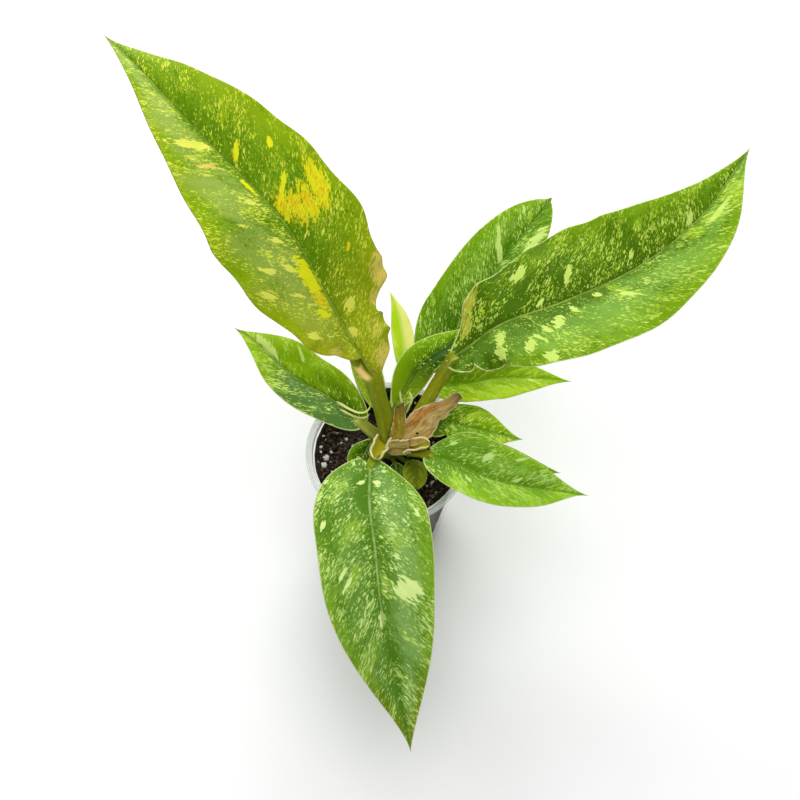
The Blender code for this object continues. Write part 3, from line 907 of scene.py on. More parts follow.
@dataclass(frozen=True)
class LeafFinish:
    """Living leaf: deep green by the midrib and lighter outward, flecked and marked with paler colours."""

    deep: Colour = (0.085, 0.2, 0.001)
    green: Colour = (0.17, 0.34, 0.002)
    border: Colour = (0.32, 0.52, 0.01)
    # A grey-green that is partly the leaf's own grey sectors and partly painted sheen, the back light's
    # reflection on a half that tilts towards it.
    grey_sheen: Colour = (0.23, 0.38, 0.05)
    fleck: Colour = (0.5, 0.7, 0.025)
    cream: Colour = (0.68, 0.8, 0.2)
    yellow: Colour = (0.76, 0.76, 0.01)
    orange: Colour = (0.74, 0.4, 0.012)
    peach: Colour = (0.64, 0.48, 0.11)
    gold: Colour = (0.42, 0.3, 0.02)
    rib: Colour = (0.42, 0.58, 0.12)
    rim: Colour = (0.6, 0.68, 0.25)
    under: Colour = (0.25, 0.4, 0.08)
    brown: Colour = (0.26, 0.15, 0.05)
    tan: Colour = (0.33, 0.32, 0.01)
    flecks: float = 0.5
    # How much painted sheen, with some of the leaf's own grey-green, each half gets; the spread, end and over
    # settings shape that band.
    left_grey_sheen: float = 0.3
    right_grey_sheen: float = 0.3
    # Each half is lightened or darkened: partly its own tone, partly painted light and shade, darker on the
    # half that tilts away from the back light.
    left_half_tone_and_light: float = 0.0
    right_half_tone_and_light: float = 0.0
    border_share: float = 0.7
    grey_sheen_spread: float = 2.0
    grey_sheen_to: float = 2.0
    grey_sheen_over: float = 0.0
    base_dark: float = 0.6
    base_reach: float = 0.4
    tip_lift: float = 0.25
    tan_share: float = 0.0
    tan_reach: float = 0.25
    rib_width: float = 0.5
    rib_show: float = 0.5
    rib_to: float = 2.0
    rim_reach: float = 0.22
    tip_start: float = 0.985
    tan_tip: float = 0.0
    mottle: float = 1.0
    rough: float = 0.42
    shine: float = 0.07

    def material(self, name: str) -> bpy.types.Material:
        """Make the finish, which reads leaf_flat, leaf_zone, leaf_marks and leaf_more.

        Args:
            name: The material's name.

        Returns:
            The finished material.
        """
        g = Graph(name)
        vein, away, along = g.values("leaf_flat")
        edge, top, share = g.values("leaf_zone")
        out = abs(away)
        outward = out / (out + edge + 0.2)
        right = g.smooth(away, -0.4, 0.4)
        broad = g.noise(g.join(vein * 0.06, away * 0.08))
        streak = g.noise(g.join(vein * 1.1, away * 0.28), detail=4.0, rough=0.7)
        patchy = g.noise(g.join(vein * 0.55, away * 0.3, 9.0), detail=4.0, rough=0.75)
        grain = g.noise(g.join(vein * 2.8, away * 1.2, 2.0), detail=3.0, rough=0.7)
        jag = g.noise(g.join(vein * 1.4, away * 0.55, 7.0), detail=4.0, rough=0.7)
        ragged = share + (broad - 0.5) * 0.5 + (jag - 0.5) * 0.2 + outward * 0.08
        far = g.smooth(ragged, 0.04, self.base_reach)
        # lift makes each half lighter or darker, partly its own tone and partly painted light and shade from
        # the side it tilts to, and lighter towards the tip.
        lift = right * (self.right_half_tone_and_light - self.left_half_tone_and_light) + self.left_half_tone_and_light + share * self.tip_lift
        uneven = ((patchy - 0.5) * 2.2 + (streak - 0.5) * 0.8 + (grain - 0.5) * 2.4) * self.mottle
        tone = outward * 0.6 + (broad - 0.5) * 1.2 + uneven + lift
        body = g.mix(g.smooth(tone, -0.05, 0.75), self.deep, self.green)
        # Painted sheen: a grey-green band across the middle of each half, strongest on the half that tilts
        # towards the back light, partly the leaf's own grey-green. The lime border is held back under it.
        grey_sheen_at = 1.1 - abs(outward - 0.45) * self.grey_sheen_spread + (broad - 0.5) * 2.0 + uneven * 0.5
        grey_sheen_end = g.smooth(share + (broad - 0.5) * 0.3, self.grey_sheen_to - 0.15, self.grey_sheen_to + 0.15)
        grey_sheen_share = g.smooth(grey_sheen_at, 0.25, 1.05) * (1 - grey_sheen_end)
        grey_sheen_share = grey_sheen_share * (right * (self.right_grey_sheen - self.left_grey_sheen) + self.left_grey_sheen)
        body = g.mix(grey_sheen_share, body, self.grey_sheen)
        outer = outward + (broad - 0.5) * 0.9 + (jag - 0.5) * 0.9 + uneven * 0.35 + lift * 0.3
        bare = 1 - grey_sheen_share * self.grey_sheen_over
        body = g.mix(g.smooth(outer, 0.5, 1.15) * bare * self.border_share, body, self.border)
        body = g.mix((1 - far) * bare * self.base_dark, body, self.deep)
        if self.tan_share:
            near_base = 1 - g.smooth(share + (jag - 0.5) * 0.25 - outward * 0.08, 0.0, self.tan_reach)
            body = g.mix(near_base * self.tan_share, body, self.tan)
        if self.tan_tip:
            near_tip = g.smooth(share + (jag - 0.5) * 0.3 + (outward - 0.5) * 0.2, 0.74, 0.96)
            body = g.mix(near_tip * self.tan_tip, body, self.tan)
        spot = LeafSpot(g, vein, away, along, out, edge, share, far, jag, streak)
        body = self.lined(spot, self.marked(spot, self.flecked(spot, body)))
        brown = g.smooth(share + (jag - 0.5) * 0.02, self.tip_start, self.tip_start + 0.012)
        body = g.mix(brown, body, self.brown)
        pale = g.mix(g.smooth(streak, 0.35, 0.65) * 0.4, self.under, self.border)
        colour = g.mix(top, g.mix(0.35, pale, body), body)
        rough = self.rough + (streak - 0.5) * 0.2 + (1 - top) * 0.18
        feeds = {"Base Color": colour, "Roughness": rough, "Specular IOR Level": self.shine}
        return g.surface(feeds, grain * 0.6 + streak * 0.6, 0.1)

    def flecked(self, at: LeafSpot, body: Socket) -> Socket:
        """Scatter dashes along the side veins, thick in some places and thin in others.

        Args:
            at: What is known of each point.
            body: Colour under the flecks.

        Returns:
            The flecked colour.
        """
        g = at.g
        gather = g.noise(g.join(at.vein * 0.1, at.away * 0.09, 3.0), detail=3.0, rough=0.65)
        wander = g.noise(g.join(at.vein * 1.3, at.away * 0.8, 13.0)) - 0.5
        extra = (gather - 0.5) * 2.0 + (self.flecks - 0.5) * 0.6 + (at.far - 1) * self.base_dark * 0.12
        for layer in FLECK_LAYERS:
            over, up = at.vein * layer.across, at.away * layer.along
            apart, chance, pale = g.cells(g.join(over + wander * 0.9, up + wander * 0.6 + layer.shift))
            size = g.maths("MINIMUM", (chance - layer.rarity + extra) * 1.9, 0.4)
            dash = g.smooth(size - apart, 0.0, 0.09) * (0.55 + pale * 0.45) * layer.strength
            body = g.mix(dash, body, g.mix(pale, self.fleck, self.cream))
        return body

    def marked(self, at: LeafSpot, body: Socket) -> Socket:
        """Lay the patches of each tone, torn along the veins.

        Args:
            at: What is known of each point.
            body: Colour under the patches.

        Returns:
            The patched colour.
        """
        g = at.g
        cream, lime, orange = g.values("leaf_marks")
        yellow, peach, gold = g.values("leaf_more")
        _, block, other = g.cells(g.join(at.vein * 1.3 + (at.jag - 0.5) * 1.5, at.away * 0.55 + 5.0))
        _, crumb, speck = g.cells(g.join(at.vein * 2.3 + (at.jag - 0.5), at.away * 1.2 + 11.0))
        torn = (at.jag - 0.5) * 1.1 + (block - 0.5) * 0.7
        fine = g.smooth(at.streak + (other - 0.5) * 0.3, 0.38, 0.62)
        dotted = 0.75 + speck * 0.25
        blush = g.smooth(peach + torn * 0.9 + (crumb - 0.5) * 0.5, -0.1, 0.25) * dotted
        body = g.mix(blush, body, g.mix(crumb * 0.25, self.peach, self.border))
        speckled = g.mix(g.smooth(speck, 0.45, 0.8), self.border, g.mix(other, self.fleck, self.cream))
        limed = g.smooth(lime + torn + (crumb - 0.5) * 0.8, -0.2, 0.4) * (0.35 + crumb * 0.65)
        body = g.mix(limed, body, speckled)
        golden = g.mix(g.smooth(at.jag, 0.5, 0.62), self.gold, self.cream)
        body = g.mix(g.smooth(gold + torn, 0.0, 0.3) * 0.9, body, golden)
        body = g.mix(g.smooth(cream + torn, 0.0, 0.1), body, g.mix(fine * 0.25, self.cream, self.fleck))
        lemon = g.mix(fine * 0.3, self.yellow, self.fleck)
        body = g.mix(g.smooth(yellow + torn * 0.8, 0.0, 0.12), body, lemon)
        heat = g.smooth(orange * 0.5 + (crumb - 0.5) * 0.9 + (at.streak - 0.5) * 2.0, 0.1, 0.8)
        warm = g.smooth(orange + torn * 0.6 + (crumb - 0.5) * 0.6, -0.1, 0.2) * dotted
        return g.mix(warm, body, g.mix(heat, self.yellow, self.orange))

    def lined(self, at: LeafSpot, body: Socket) -> Socket:
        """Draw the pale midrib in its crease of painted shade, and the thin pale rim, which is broadest by
        the base.

        Args:
            at: What is known of each point.
            body: Colour under the lines.

        Returns:
            The lined colour.
        """
        g = at.g
        worn = g.noise(g.join(at.along * 0.12, at.out * 0.3, 5.0), detail=3.0, rough=0.6)
        width = (1.05 - at.share) * self.rib_width + 0.12
        # Painted shade: the colour is darkened towards the deep green in the crease along the midrib.
        crease_shade = 1 - g.smooth(at.out / (width + 0.25), 0.6, 1.9)
        body = g.mix(crease_shade * 0.55, body, self.deep)
        line = 1 - g.smooth(at.out / width, 0.45, 0.8)
        rib_end = g.smooth(at.share, self.rib_to - 0.08, self.rib_to + 0.08)
        shown = (0.3 + g.smooth(worn, 0.36, 0.6) * 0.7) * self.rib_show * (1 - rib_end)
        body = g.mix(line * shown, body, self.rib)
        reach = (1 - g.smooth(at.share, 0.06, 0.22)) * 0.25 + self.rim_reach
        rim = (1 - g.smooth(at.edge / reach, 0.5, 1.0)) * g.smooth(at.jag - at.share * 0.15, 0.22, 0.5)
        return g.mix(rim * 0.85, body, self.rim)


@dataclass(frozen=True)
class StalkFinish:
    """Living stalk: olive and green in long streaks, paler at the foot, with a cream rim on its sheath."""

    name: str
    olive: Colour = (0.23, 0.24, 0.004)
    green: Colour = (0.17, 0.25, 0.004)
    pale: Colour = (0.48, 0.48, 0.06)
    red: Colour = (0.26, 0.12, 0.01)
    cream: Colour = (0.74, 0.68, 0.38)
    inside: Colour = (0.36, 0.32, 0.008)
    scar_tone: Colour = (0.68, 0.48, 0.13)
    scar: tuple[float, float, float] = (0.0, 0.0, 0.0)
    rough: float = 0.4

    def material(self) -> bpy.types.Material:
        """Make the finish, which reads stalk_flat and stalk_zone.

        Returns:
            The finished material.
        """
        g = Graph(self.name)
        around, along, radius = g.values("stalk_flat")
        near, share, front = g.values("stalk_zone")
        lines = g.noise(g.join(around * 2.2, along * 0.06), detail=3.0, rough=0.6)
        blotch = g.noise(g.join(around * 0.5, along * 0.12, 4.0))
        fleck = g.noise(g.join(around * 3.0, along * 0.5, 8.0))
        body = g.mix(g.smooth(lines + (blotch - 0.5) * 0.6, 0.38, 0.62), self.green, self.olive)
        body = g.mix(g.smooth(fleck, 0.6, 0.68) * 0.55, body, self.pale)
        body = g.mix(g.smooth(lines, 0.6, 0.72) * 0.35, body, self.red)
        body = g.mix((1 - g.smooth(share, 0.0, 0.35)) * 0.35, body, self.pale)
        hollow = g.mix(g.smooth(lines + (blotch - 0.5) * 0.8, 0.42, 0.66) * 0.5, self.inside, self.pale)
        body = g.mix(front, body, hollow)
        body = g.mix(g.smooth(near + (fleck - 0.5) * 0.4, 0.55, 0.85), body, self.cream)
        if self.scar[2]:
            over, up = abs(around - self.scar[0]) * 2.4, abs(along - self.scar[1])
            off = g.maths("MAXIMUM", over, up) + (blotch - 0.5) * 2.5
            body = g.mix(1 - g.smooth(off, self.scar[2] * 0.6, self.scar[2] * 1.2), body, self.scar_tone)
        height = lines * 0.8 + fleck * 0.3
        feeds = {"Base Color": body, "Roughness": self.rough + (lines - 0.5) * 0.3, "Specular IOR Level": 0.2}
        return g.surface(feeds, height, 0.12)


GREEN_STALK = StalkFinish("stalk_green", olive=(0.23, 0.3, 0.01), green=(0.14, 0.26, 0.006))


@dataclass(frozen=True)
class PaperFinish:
    """A dry papery sheath: tan fibres, a rust streak, a browned tip and a pale rim."""

    name: str
    tan: Colour = (0.36, 0.23, 0.05)
    light: Colour = (0.58, 0.41, 0.16)
    brown: Colour = (0.12, 0.055, 0.015)
    rust: Colour = (0.4, 0.15, 0.01)
    green: Colour = (0.24, 0.24, 0.02)
    rim: Colour = (0.8, 0.72, 0.48)
    green_share: float = 0.2
    rust_at: float = 0.25
    rust_share: float = 0.8
    tip_start: float = 0.7
    rim_share: float = 0.5
    # A painted hole: place, offset and size of a near-black disc of painted shade.
    hole: tuple[float, float, float] = (0.0, 0.0, 0.0)
    rough: float = 0.72

    def material(self) -> bpy.types.Material:
        """Make the finish, which reads paper_flat and paper_zone.

        Returns:
            The finished material.
        """
        g = Graph(self.name)
        across, away, along = g.values("paper_flat")
        edge, _, share = g.values("paper_zone")
        fibre = g.noise(g.join(away * 2.6, along * 0.22, 1.0), detail=4.0, rough=0.65)
        blotch = g.noise(g.join(away * 0.5, along * 0.22, 2.0), detail=3.0)
        body = g.mix(g.smooth(fibre + (blotch - 0.5) * 0.6, 0.36, 0.64), self.tan, self.light)
        streak = 1 - g.smooth(abs(across - self.rust_at) + (fibre - 0.5) * 0.5, 0.02, 0.26)
        middle = g.smooth(share + (blotch - 0.5) * 0.4, 0.12, 0.3) * (1 - g.smooth(share, 0.6, 0.95))
        body = g.mix(streak * middle * self.rust_share, body, self.rust)
        body = g.mix(g.smooth(fibre + blotch, 1.14, 1.3) * 0.7, body, self.brown)
        body = g.mix((1 - g.smooth(share, 0.0, 0.6)) * self.green_share, body, self.green)
        browned = g.smooth(share + (fibre - 0.5) * 0.5 + (blotch - 0.5) * 0.3, self.tip_start, 1.05)
        body = g.mix(browned * 0.85, body, self.brown)
        rim = (1 - g.smooth(edge + (fibre - 0.5) * 0.4, 0.15, 0.45)) * self.rim_share
        body = g.mix(rim, body, self.rim)
        # Painted hole: a near-black disc of painted shade, standing where a hole in the sheath would show the
        # dark behind it.
        if self.hole[2]:
            up, over = along - self.hole[0], away - self.hole[1]
            rim_at = up * up + over * over
            body = g.mix(1 - g.smooth(rim_at, self.hole[2] * 0.5, self.hole[2]), body, (0.01, 0.006, 0.004))
        feeds = {"Base Color": body, "Roughness": self.rough, "Specular IOR Level": 0.2}
        return g.surface(feeds, fibre + blotch * 0.5, 0.45)


@dataclass(frozen=True)
class Leaf:
    """One leaf, laid over its CAD node as a blade and a stalk."""

    name: str
    slot: str
    stalk: Stalk
    blade: Blade
    finish: LeafFinish
    stalk_finish: StalkFinish = GREEN_STALK

    def build(self) -> None:
        """Build and dress the leaf's pieces."""
        skin, stalk_skin = self.finish.material(self.name + "_skin"), self.stalk_finish.material()
        self.blade.shape().piece(self.name + "_blade", self.name, self.slot, skin)
        self.stalk.shape(self.blade).piece(self.name + "_stalk", self.name, self.slot, stalk_skin)


@dataclass(frozen=True)
class SheathCup:
    """The open sheath at a stalk's foot: a channel with a thick waved rim, rounded shut at its far end."""

    name: str
    node: str
    slot: str
    route: Route
    half: float
    depth: float
    finish: StalkFinish
    wall: float = 0.45
    rim: float = 0.85
    wave: float = 0.45
    waves: float = 2.3
    flare: float = 0.5
    rim_reach: float = 0.42
    closing: float = 0.5
    crowding: float = 1.7
    rows: int = 64
    columns: int = 25
    seed: int = 1

    def build(self) -> None:
        """Build and dress the sheath."""
        spine, skin = Spine(self.route), StalkSkin()
        angle = np.linspace(np.pi / 2, -np.pi / 2, self.columns)
        near = bell(np.abs(angle), np.pi / 2, self.rim_reach)
        rims = np.concatenate([near, [1.0], near[::-1], [1.0]])
        inside = np.concatenate([np.zeros(self.columns + 1), np.ones(self.columns), [0.0]])
        for row in range(self.rows):
            share = 1 - (1 - row / (self.rows - 1)) ** self.crowding
            shut = max(0.0, (share - self.closing) / (1 - self.closing))
            open_share = max(0.04, math.sqrt(1 - shut**2))
            half, depth = self.half * open_share, self.depth * open_share**0.7
            turn = 2 * np.pi * self.waves * share + self.seed + np.sign(angle) * 1.3
            rise = near * self.wave * np.sin(turn) * open_share
            thick = np.minimum(self.wall + (self.rim - self.wall) * near**2, 0.45 * half)
            reach = half + self.flare * near * (0.7 + 0.5 * np.sin(turn * 1.3 + 0.8)) * open_share
            outer = np.stack([reach * np.sin(angle), -depth * np.cos(angle) + rise], -1)
            inner = np.stack([(reach - thick) * np.sin(angle), -(depth - thick) * np.cos(angle) + rise], -1)
            tops = [(outer[end] + inner[end]) / 2 + (0.0, 0.4 * thick[end]) for end in (-1, 0)]
            flat = np.concatenate([outer, tops[:1], inner[::-1], tops[1:]])
            skin.add(spine.frame(np.array(share)), flat, half, share * spine.length, share, rims, inside)
        skin.shape().piece(self.name, self.node, self.slot, self.finish.material())


@dataclass(frozen=True)
class Ribbon:
    """A narrow strip of margin or sheath that has curled free."""

    name: str
    node: str
    slot: str
    route: Route
    width: float
    finish: StalkFinish
    thick: float = 0.35
    twist: float = 0.0
    taper: float = 0.16
    step: float = 0.25
    corners: int = 14

    def build(self) -> None:
        """Build and dress the strip."""
        spine, skin = Spine(self.route), StalkSkin()
        turn = np.linspace(np.pi, -np.pi, self.corners, endpoint=False)
        steps = max(12, round(spine.length / self.step))
        for share in [step / steps for step in range(steps + 1)]:
            narrow = [float(ease(np.array(end), -0.05, self.taper)) for end in (share, 1 - share)]
            half = self.width / 2 * narrow[0] * narrow[1]
            centre, side, face = spine.frame(np.array(share))
            lean = math.radians(self.twist * share)
            broad = side * math.cos(lean) + face * math.sin(lean)
            thin = face * math.cos(lean) - side * math.sin(lean)
            flat = np.stack([half * np.sin(turn), -self.thick / 2 * np.cos(turn)], -1)
            skin.add((centre, broad, thin), flat, half, share * spine.length, share, corner=np.sin(turn))
        skin.shape().piece(self.name, self.node, self.slot, self.finish.material())


@dataclass(frozen=True)
class PaperySheath:
    """One dry, torn leaf sheath at the crown, laid between its two long edges."""

    name: str
    node: str
    left: Route
    right: Route
    finish: PaperFinish
    arch: float = 0.8
    crinkle: float = 0.45
    fray: float = 0.12
    jagged: float = 0.1
    thick: float = 0.28
    rows: int = 110
    columns: int = 45
    seed: int = 3

    def build(self) -> None:
        """Build and dress the sheath."""
        left, right = Spine(self.left), Spine(self.right)
        steps = np.linspace(0, 1, self.rows), np.linspace(0, 1, self.columns)
        share, across = np.meshgrid(*steps, indexing="ij")
        torn = [0.5 + noise.noise(Vector((column * 9.0, self.seed, 0.5))) for column in steps[1].tolist()]
        share = share * (1 - self.fray * np.array(torn))
        ups = share[:, 0].tolist()
        edges = [[noise.noise(Vector((up * 11.0, side, self.seed))) for up in ups] for side in (2, 5)]
        ragged = np.array(edges) * self.jagged
        sway = across + ragged[0][:, None] * (1 - across) - ragged[1][:, None] * across
        points = left.place(share) * (1 - sway[..., None]) + right.place(share) * sway[..., None]
        width = np.linalg.norm(points[:, -1] - points[:, 0], axis=-1)[:, None]
        length = (left.length + right.length) / 2
        away, along = (across - 0.5) * width, share * length
        crinkled = np.zeros_like(share)
        for row in range(self.rows):
            for column in range(self.columns):
                x, y = float(away[row, column]), float(along[row, column])
                fold = noise.noise(Vector((x * 0.55, y * 0.16, self.seed)))
                fine = noise.noise(Vector((x * 1.7, y * 0.5, self.seed + 5.0)))
                crinkled[row, column] = self.crinkle * (1.3 * fold + 0.45 * fine)
        rise = self.arch * (1 - (2 * across - 1) ** 2) * (1 - 0.5 * share) + crinkled
        points = points + normals(points) * rise[..., None]
        edge = np.minimum(across, 1 - across) * width
        flat = np.stack([across, away, along], -1)
        zones = [np.stack([edge, np.full_like(edge, top), share], -1) for top in (1.0, 0.0)]
        half_thick = np.full_like(edge, self.thick / 2)
        shape = shell(points, half_thick, {"paper_flat": (flat, flat), "paper_zone": zones})
        shape.piece(self.name, self.node, "papery_sheath", self.finish.material())


@dataclass(frozen=True)
class ClearPlasticFinish:
    """Thin, slightly milky clear plastic with faint moulding lines."""

    name: str = "clear_plastic"
    tint: Colour = (0.78, 0.8, 0.79)
    wall_alpha: float = 0.06
    lip_alpha: float = 0.42
    ring_alpha: float = 0.4
    lip_foot: float = 54.0
    ring_pitch: float = 8.4
    rough: float = 0.16

    def material(self) -> bpy.types.Material:
        """Make the finish.

        Returns:
            The finished material.
        """
        g = Graph(self.name)
        place = g.place()
        x, y, height = g.split(place)
        cloud = g.noise(place, 0.12)
        lines = g.noise(place * (0.02, 0.02, 1.2), detail=3.0)
        lip = g.smooth(height, self.lip_foot - 0.6, self.lip_foot + 0.4)
        reach = g.maths("SQRT", x * x + y * y)
        rings = g.smooth(g.maths("SINE", reach * self.ring_pitch), 0.1, 0.8) * lip * self.ring_alpha
        alpha = self.wall_alpha + lip * (self.lip_alpha - self.wall_alpha) + rings
        alpha = alpha + (cloud - 0.5) * (lip * 0.08 + 0.04)
        rough = self.rough + (lines - 0.5) * 0.1
        feeds = {"Base Color": self.tint, "Roughness": rough, "Alpha": alpha, "Specular IOR Level": 0.6}
        return g.surface(feeds, lines, 0.05)


@dataclass(frozen=True)
class Pot:
    """The clear pot: a thin wall with a rolled lip, and drain holes round a solid centre."""

    height: float = 57.0
    rim_radius: float = 32.0
    base_radius: float = 23.0
    wall: float = 1.0
    lip_drop: float = 3.0
    lip_out: float = 1.5
    lip_round: float = 0.6
    lip_edge: float = 0.4
    groove: float = 0.35
    floor: float = 1.5
    inner_round: float = 1.5
    foot_round: float = 1.2
    steps: int = 144
    wall_steps: int = 12
    drains: int = 5
    drain_radius: float = 2.5
    drain_circle: float = 14.0
    finish: ClearPlasticFinish = ClearPlasticFinish()

    def inner_radius(self, height: float) -> float:
        """The radius of the inner wall.

        Args:
            height: A height between the floor and the lip.

        Returns:
            The radius there.
        """
        low = self.floor + self.inner_round
        share = (height - low) / (self.height - self.wall - low)
        return self.base_radius - self.wall + (self.rim_radius - self.lip_out - self.base_radius) * share

    def profile(self) -> list[tuple[float, float]]:
        """Lay out the wall's profile, from the floor's centre round to the underside's.

        Returns:
            Radius and height of each point.
        """
        under_lip = self.rim_radius - self.lip_out
        lip_foot = self.height - self.lip_drop
        inner = self.base_radius - self.wall
        edge = self.rim_radius - self.lip_edge
        points = [(0.0, self.floor), (self.drain_circle, self.floor)]
        points += arc(inner - self.inner_round, self.floor + self.inner_round, self.inner_round, -90, 0, 5)
        for step in range(1, self.wall_steps):
            share = step / self.wall_steps
            height = self.floor + self.inner_round + (self.height - 2 * self.wall - self.floor) * share
            points.append((self.inner_radius(height), height))
        points += arc(under_lip, self.height - self.wall, self.wall, 180, 90, 6)
        for out, drop in ((0.15, 0.0), (0.3, self.groove), (0.55, self.groove), (0.7, 0.0)):
            points.append((under_lip + out, self.height - drop))
        bend = self.lip_round
        points += arc(self.rim_radius - bend, self.height - bend, bend, 90, 0, 6)
        points += arc(edge, lip_foot + self.lip_edge, self.lip_edge, 0, -90, 4)
        points.append((under_lip + 0.3, lip_foot))
        points.append((under_lip, lip_foot - 0.3))
        for step in range(1, self.wall_steps):
            share = step / self.wall_steps
            height = lip_foot - (lip_foot - self.foot_round) * share
            points.append((under_lip + (self.base_radius - under_lip) * share, height))
        points += arc(self.base_radius - self.foot_round, self.foot_round, self.foot_round, 0, -90, 4)
        return points + [(self.drain_circle, 0.0), (0.0, 0.0)]

    def build(self) -> None:
        """Build and dress the pot."""
        shape = turned(self.profile(), self.steps)
        pot = shape.piece("pot_wall", "pot", "clear_plastic", self.finish.material())
        for hole in range(self.drains):
            angle = 2 * math.pi * hole / self.drains
            spot = (self.drain_circle * math.cos(angle) * MM, self.drain_circle * math.sin(angle) * MM, 0.0)
            cut_round_hole(pot, spot, self.drain_radius * MM)
        pot.data.shade_smooth()
        pot.data.set_sharp_from_angle(angle=math.radians(50))


def arc(
    radius: float, height: float, bend: float, start: float, stop: float, steps: int
) -> list[tuple[float, float]]:
    """Points along an arc of a turned profile.

    Args:
        radius: The arc's centre, out from the axis.
        height: The arc's centre, up the axis.
        bend: The arc's own radius.
        start: First angle in degrees.
        stop: Last angle in degrees.
        steps: Straight steps between them.

    Returns:
        Radius and height of each point.
    """
    points = []
    for step in range(steps + 1):
        angle = math.radians(start + (stop - start) * step / steps)
        points.append((radius + bend * math.cos(angle), height + bend * math.sin(angle)))
    return points


def turned(
    profile: list[tuple[float, float]], steps: int, centre: tuple[float, float] = (0.0, 0.0)
) -> Shape:
    """Turn a profile that starts and ends on the axis.

    Args:
        profile: Radius and height of each point, the inner or upper side first.
        steps: Faces a turn.
        centre: Where the upright axis stands.

    Returns:
        A closed shape.
    """
    angle = 2 * np.pi * np.arange(steps) / steps
    rings = np.array(profile[1:-1])
    x = centre[0] + rings[:, :1] * np.cos(angle)
    y = centre[1] + rings[:, :1] * np.sin(angle)
    z = np.repeat(rings[:, 1:], steps, 1)
    poles = np.array([(*centre, profile[0][1]), (*centre, profile[-1][1])])
    shape = Shape.loft(np.stack([x, y, z], -1), poles, {})
    shape.faces = [face[::-1] for face in shape.faces]
    return shape


def cut_round_hole(obj: bpy.types.Object, spot: tuple[float, float, float], radius: float) -> None:
    """Cut an upright round hole right through a thin floor.

    Args:
        obj: The piece, whose mesh is replaced.
        spot: The hole's centre in metres.
        radius: The hole's radius in metres.
    """
    cage = bmesh.new()
    bmesh.ops.create_cone(cage, cap_ends=True, segments=32, radius1=radius, radius2=radius, depth=0.02)
    bmesh.ops.translate(cage, verts=cage.verts, vec=spot)
    mesh = bpy.data.meshes.new("hole")
    cage.to_mesh(mesh)
    cage.free()
    cutter = new_object("hole", mesh)
    cut = obj.modifiers.new("hole", "BOOLEAN")
    cut.operation = "DIFFERENCE"
    cut.solver = "EXACT"
    cut.object = cutter
    graph = bpy.context.evaluated_depsgraph_get()
    finished = bpy.data.meshes.new_from_object(obj.evaluated_get(graph))
    obj.modifiers.clear()
    obj.data = finished
    bpy.data.objects.remove(cutter, do_unlink=True)


@dataclass(frozen=True)
class MixFinish:
    """Damp dark potting mix."""

    name: str = "potting_mix_bed"
    black: Colour = (0.009, 0.006, 0.005)
    brown: Colour = (0.034, 0.019, 0.013)
    rust: Colour = (0.07, 0.034, 0.022)
    bark: Colour = (0.13, 0.07, 0.04)
    white: Colour = (0.52, 0.5, 0.45)
    rough: float = 0.85

    def material(self) -> bpy.types.Material:
        """Make the finish.

        Returns:
            The finished material.
        """
        g = Graph(self.name)
        place = g.place()
        lump = g.noise(place, 0.55, 4.0, 0.65)
        grain = g.noise(place, 2.6, 3.0, 0.7)
        body = g.mix(g.smooth(lump, 0.4, 0.6), self.black, self.brown)
        body = g.mix(g.smooth(grain, 0.58, 0.68) * 0.6, body, self.rust)
        apart, kind, size = g.cells(place * (1.0, 1.0, 1.6) + lump * 0.8, 0.55, "3D")
        piece = g.smooth(size * 0.45 + 0.08 - apart, 0.0, 0.05)
        body = g.mix(piece * g.smooth(kind, 0.62, 0.66) * 0.8, body, g.mix(grain, self.rust, self.bark))
        body = g.mix(piece * g.smooth(kind, 0.9, 0.92), body, self.white)
        feeds = {"Base Color": body, "Roughness": self.rough - grain * 0.3}
        return g.surface(feeds, grain + lump + piece, 0.5)


@dataclass(frozen=True)
class CrumbFinish:
    """Loose bits of the mix, each in its own tone from the given stops."""

    name: str
    stops: tuple[tuple[float, Colour], ...]
    rough: float = 0.8
    grain: float = 3.0
    pits: float = 0.3

    def material(self) -> bpy.types.Material:
        """Make the finish, which reads bit_tone.

        Returns:
            The finished material.
        """
        g = Graph(self.name)
        tone, _, _ = g.values("bit_tone")
        grain = g.noise(g.place(), self.grain, 3.0, 0.6)
        colour = g.node("ShaderNodeValToRGB", {"stops": self.stops}, {0: tone + (grain - 0.5) * 0.25})
        return g.surface({"Base Color": colour, "Roughness": self.rough}, grain, self.pits)


@dataclass(frozen=True)
class Scatter:
    """Bits of one kind that lie on the mix: how many, how big and how long."""

    name: str
    count: int
    smallest: float
    largest: float
    stretch: float
    finish: CrumbFinish
    seed: int
    fixed: tuple[tuple[float, float, float], ...] = ()


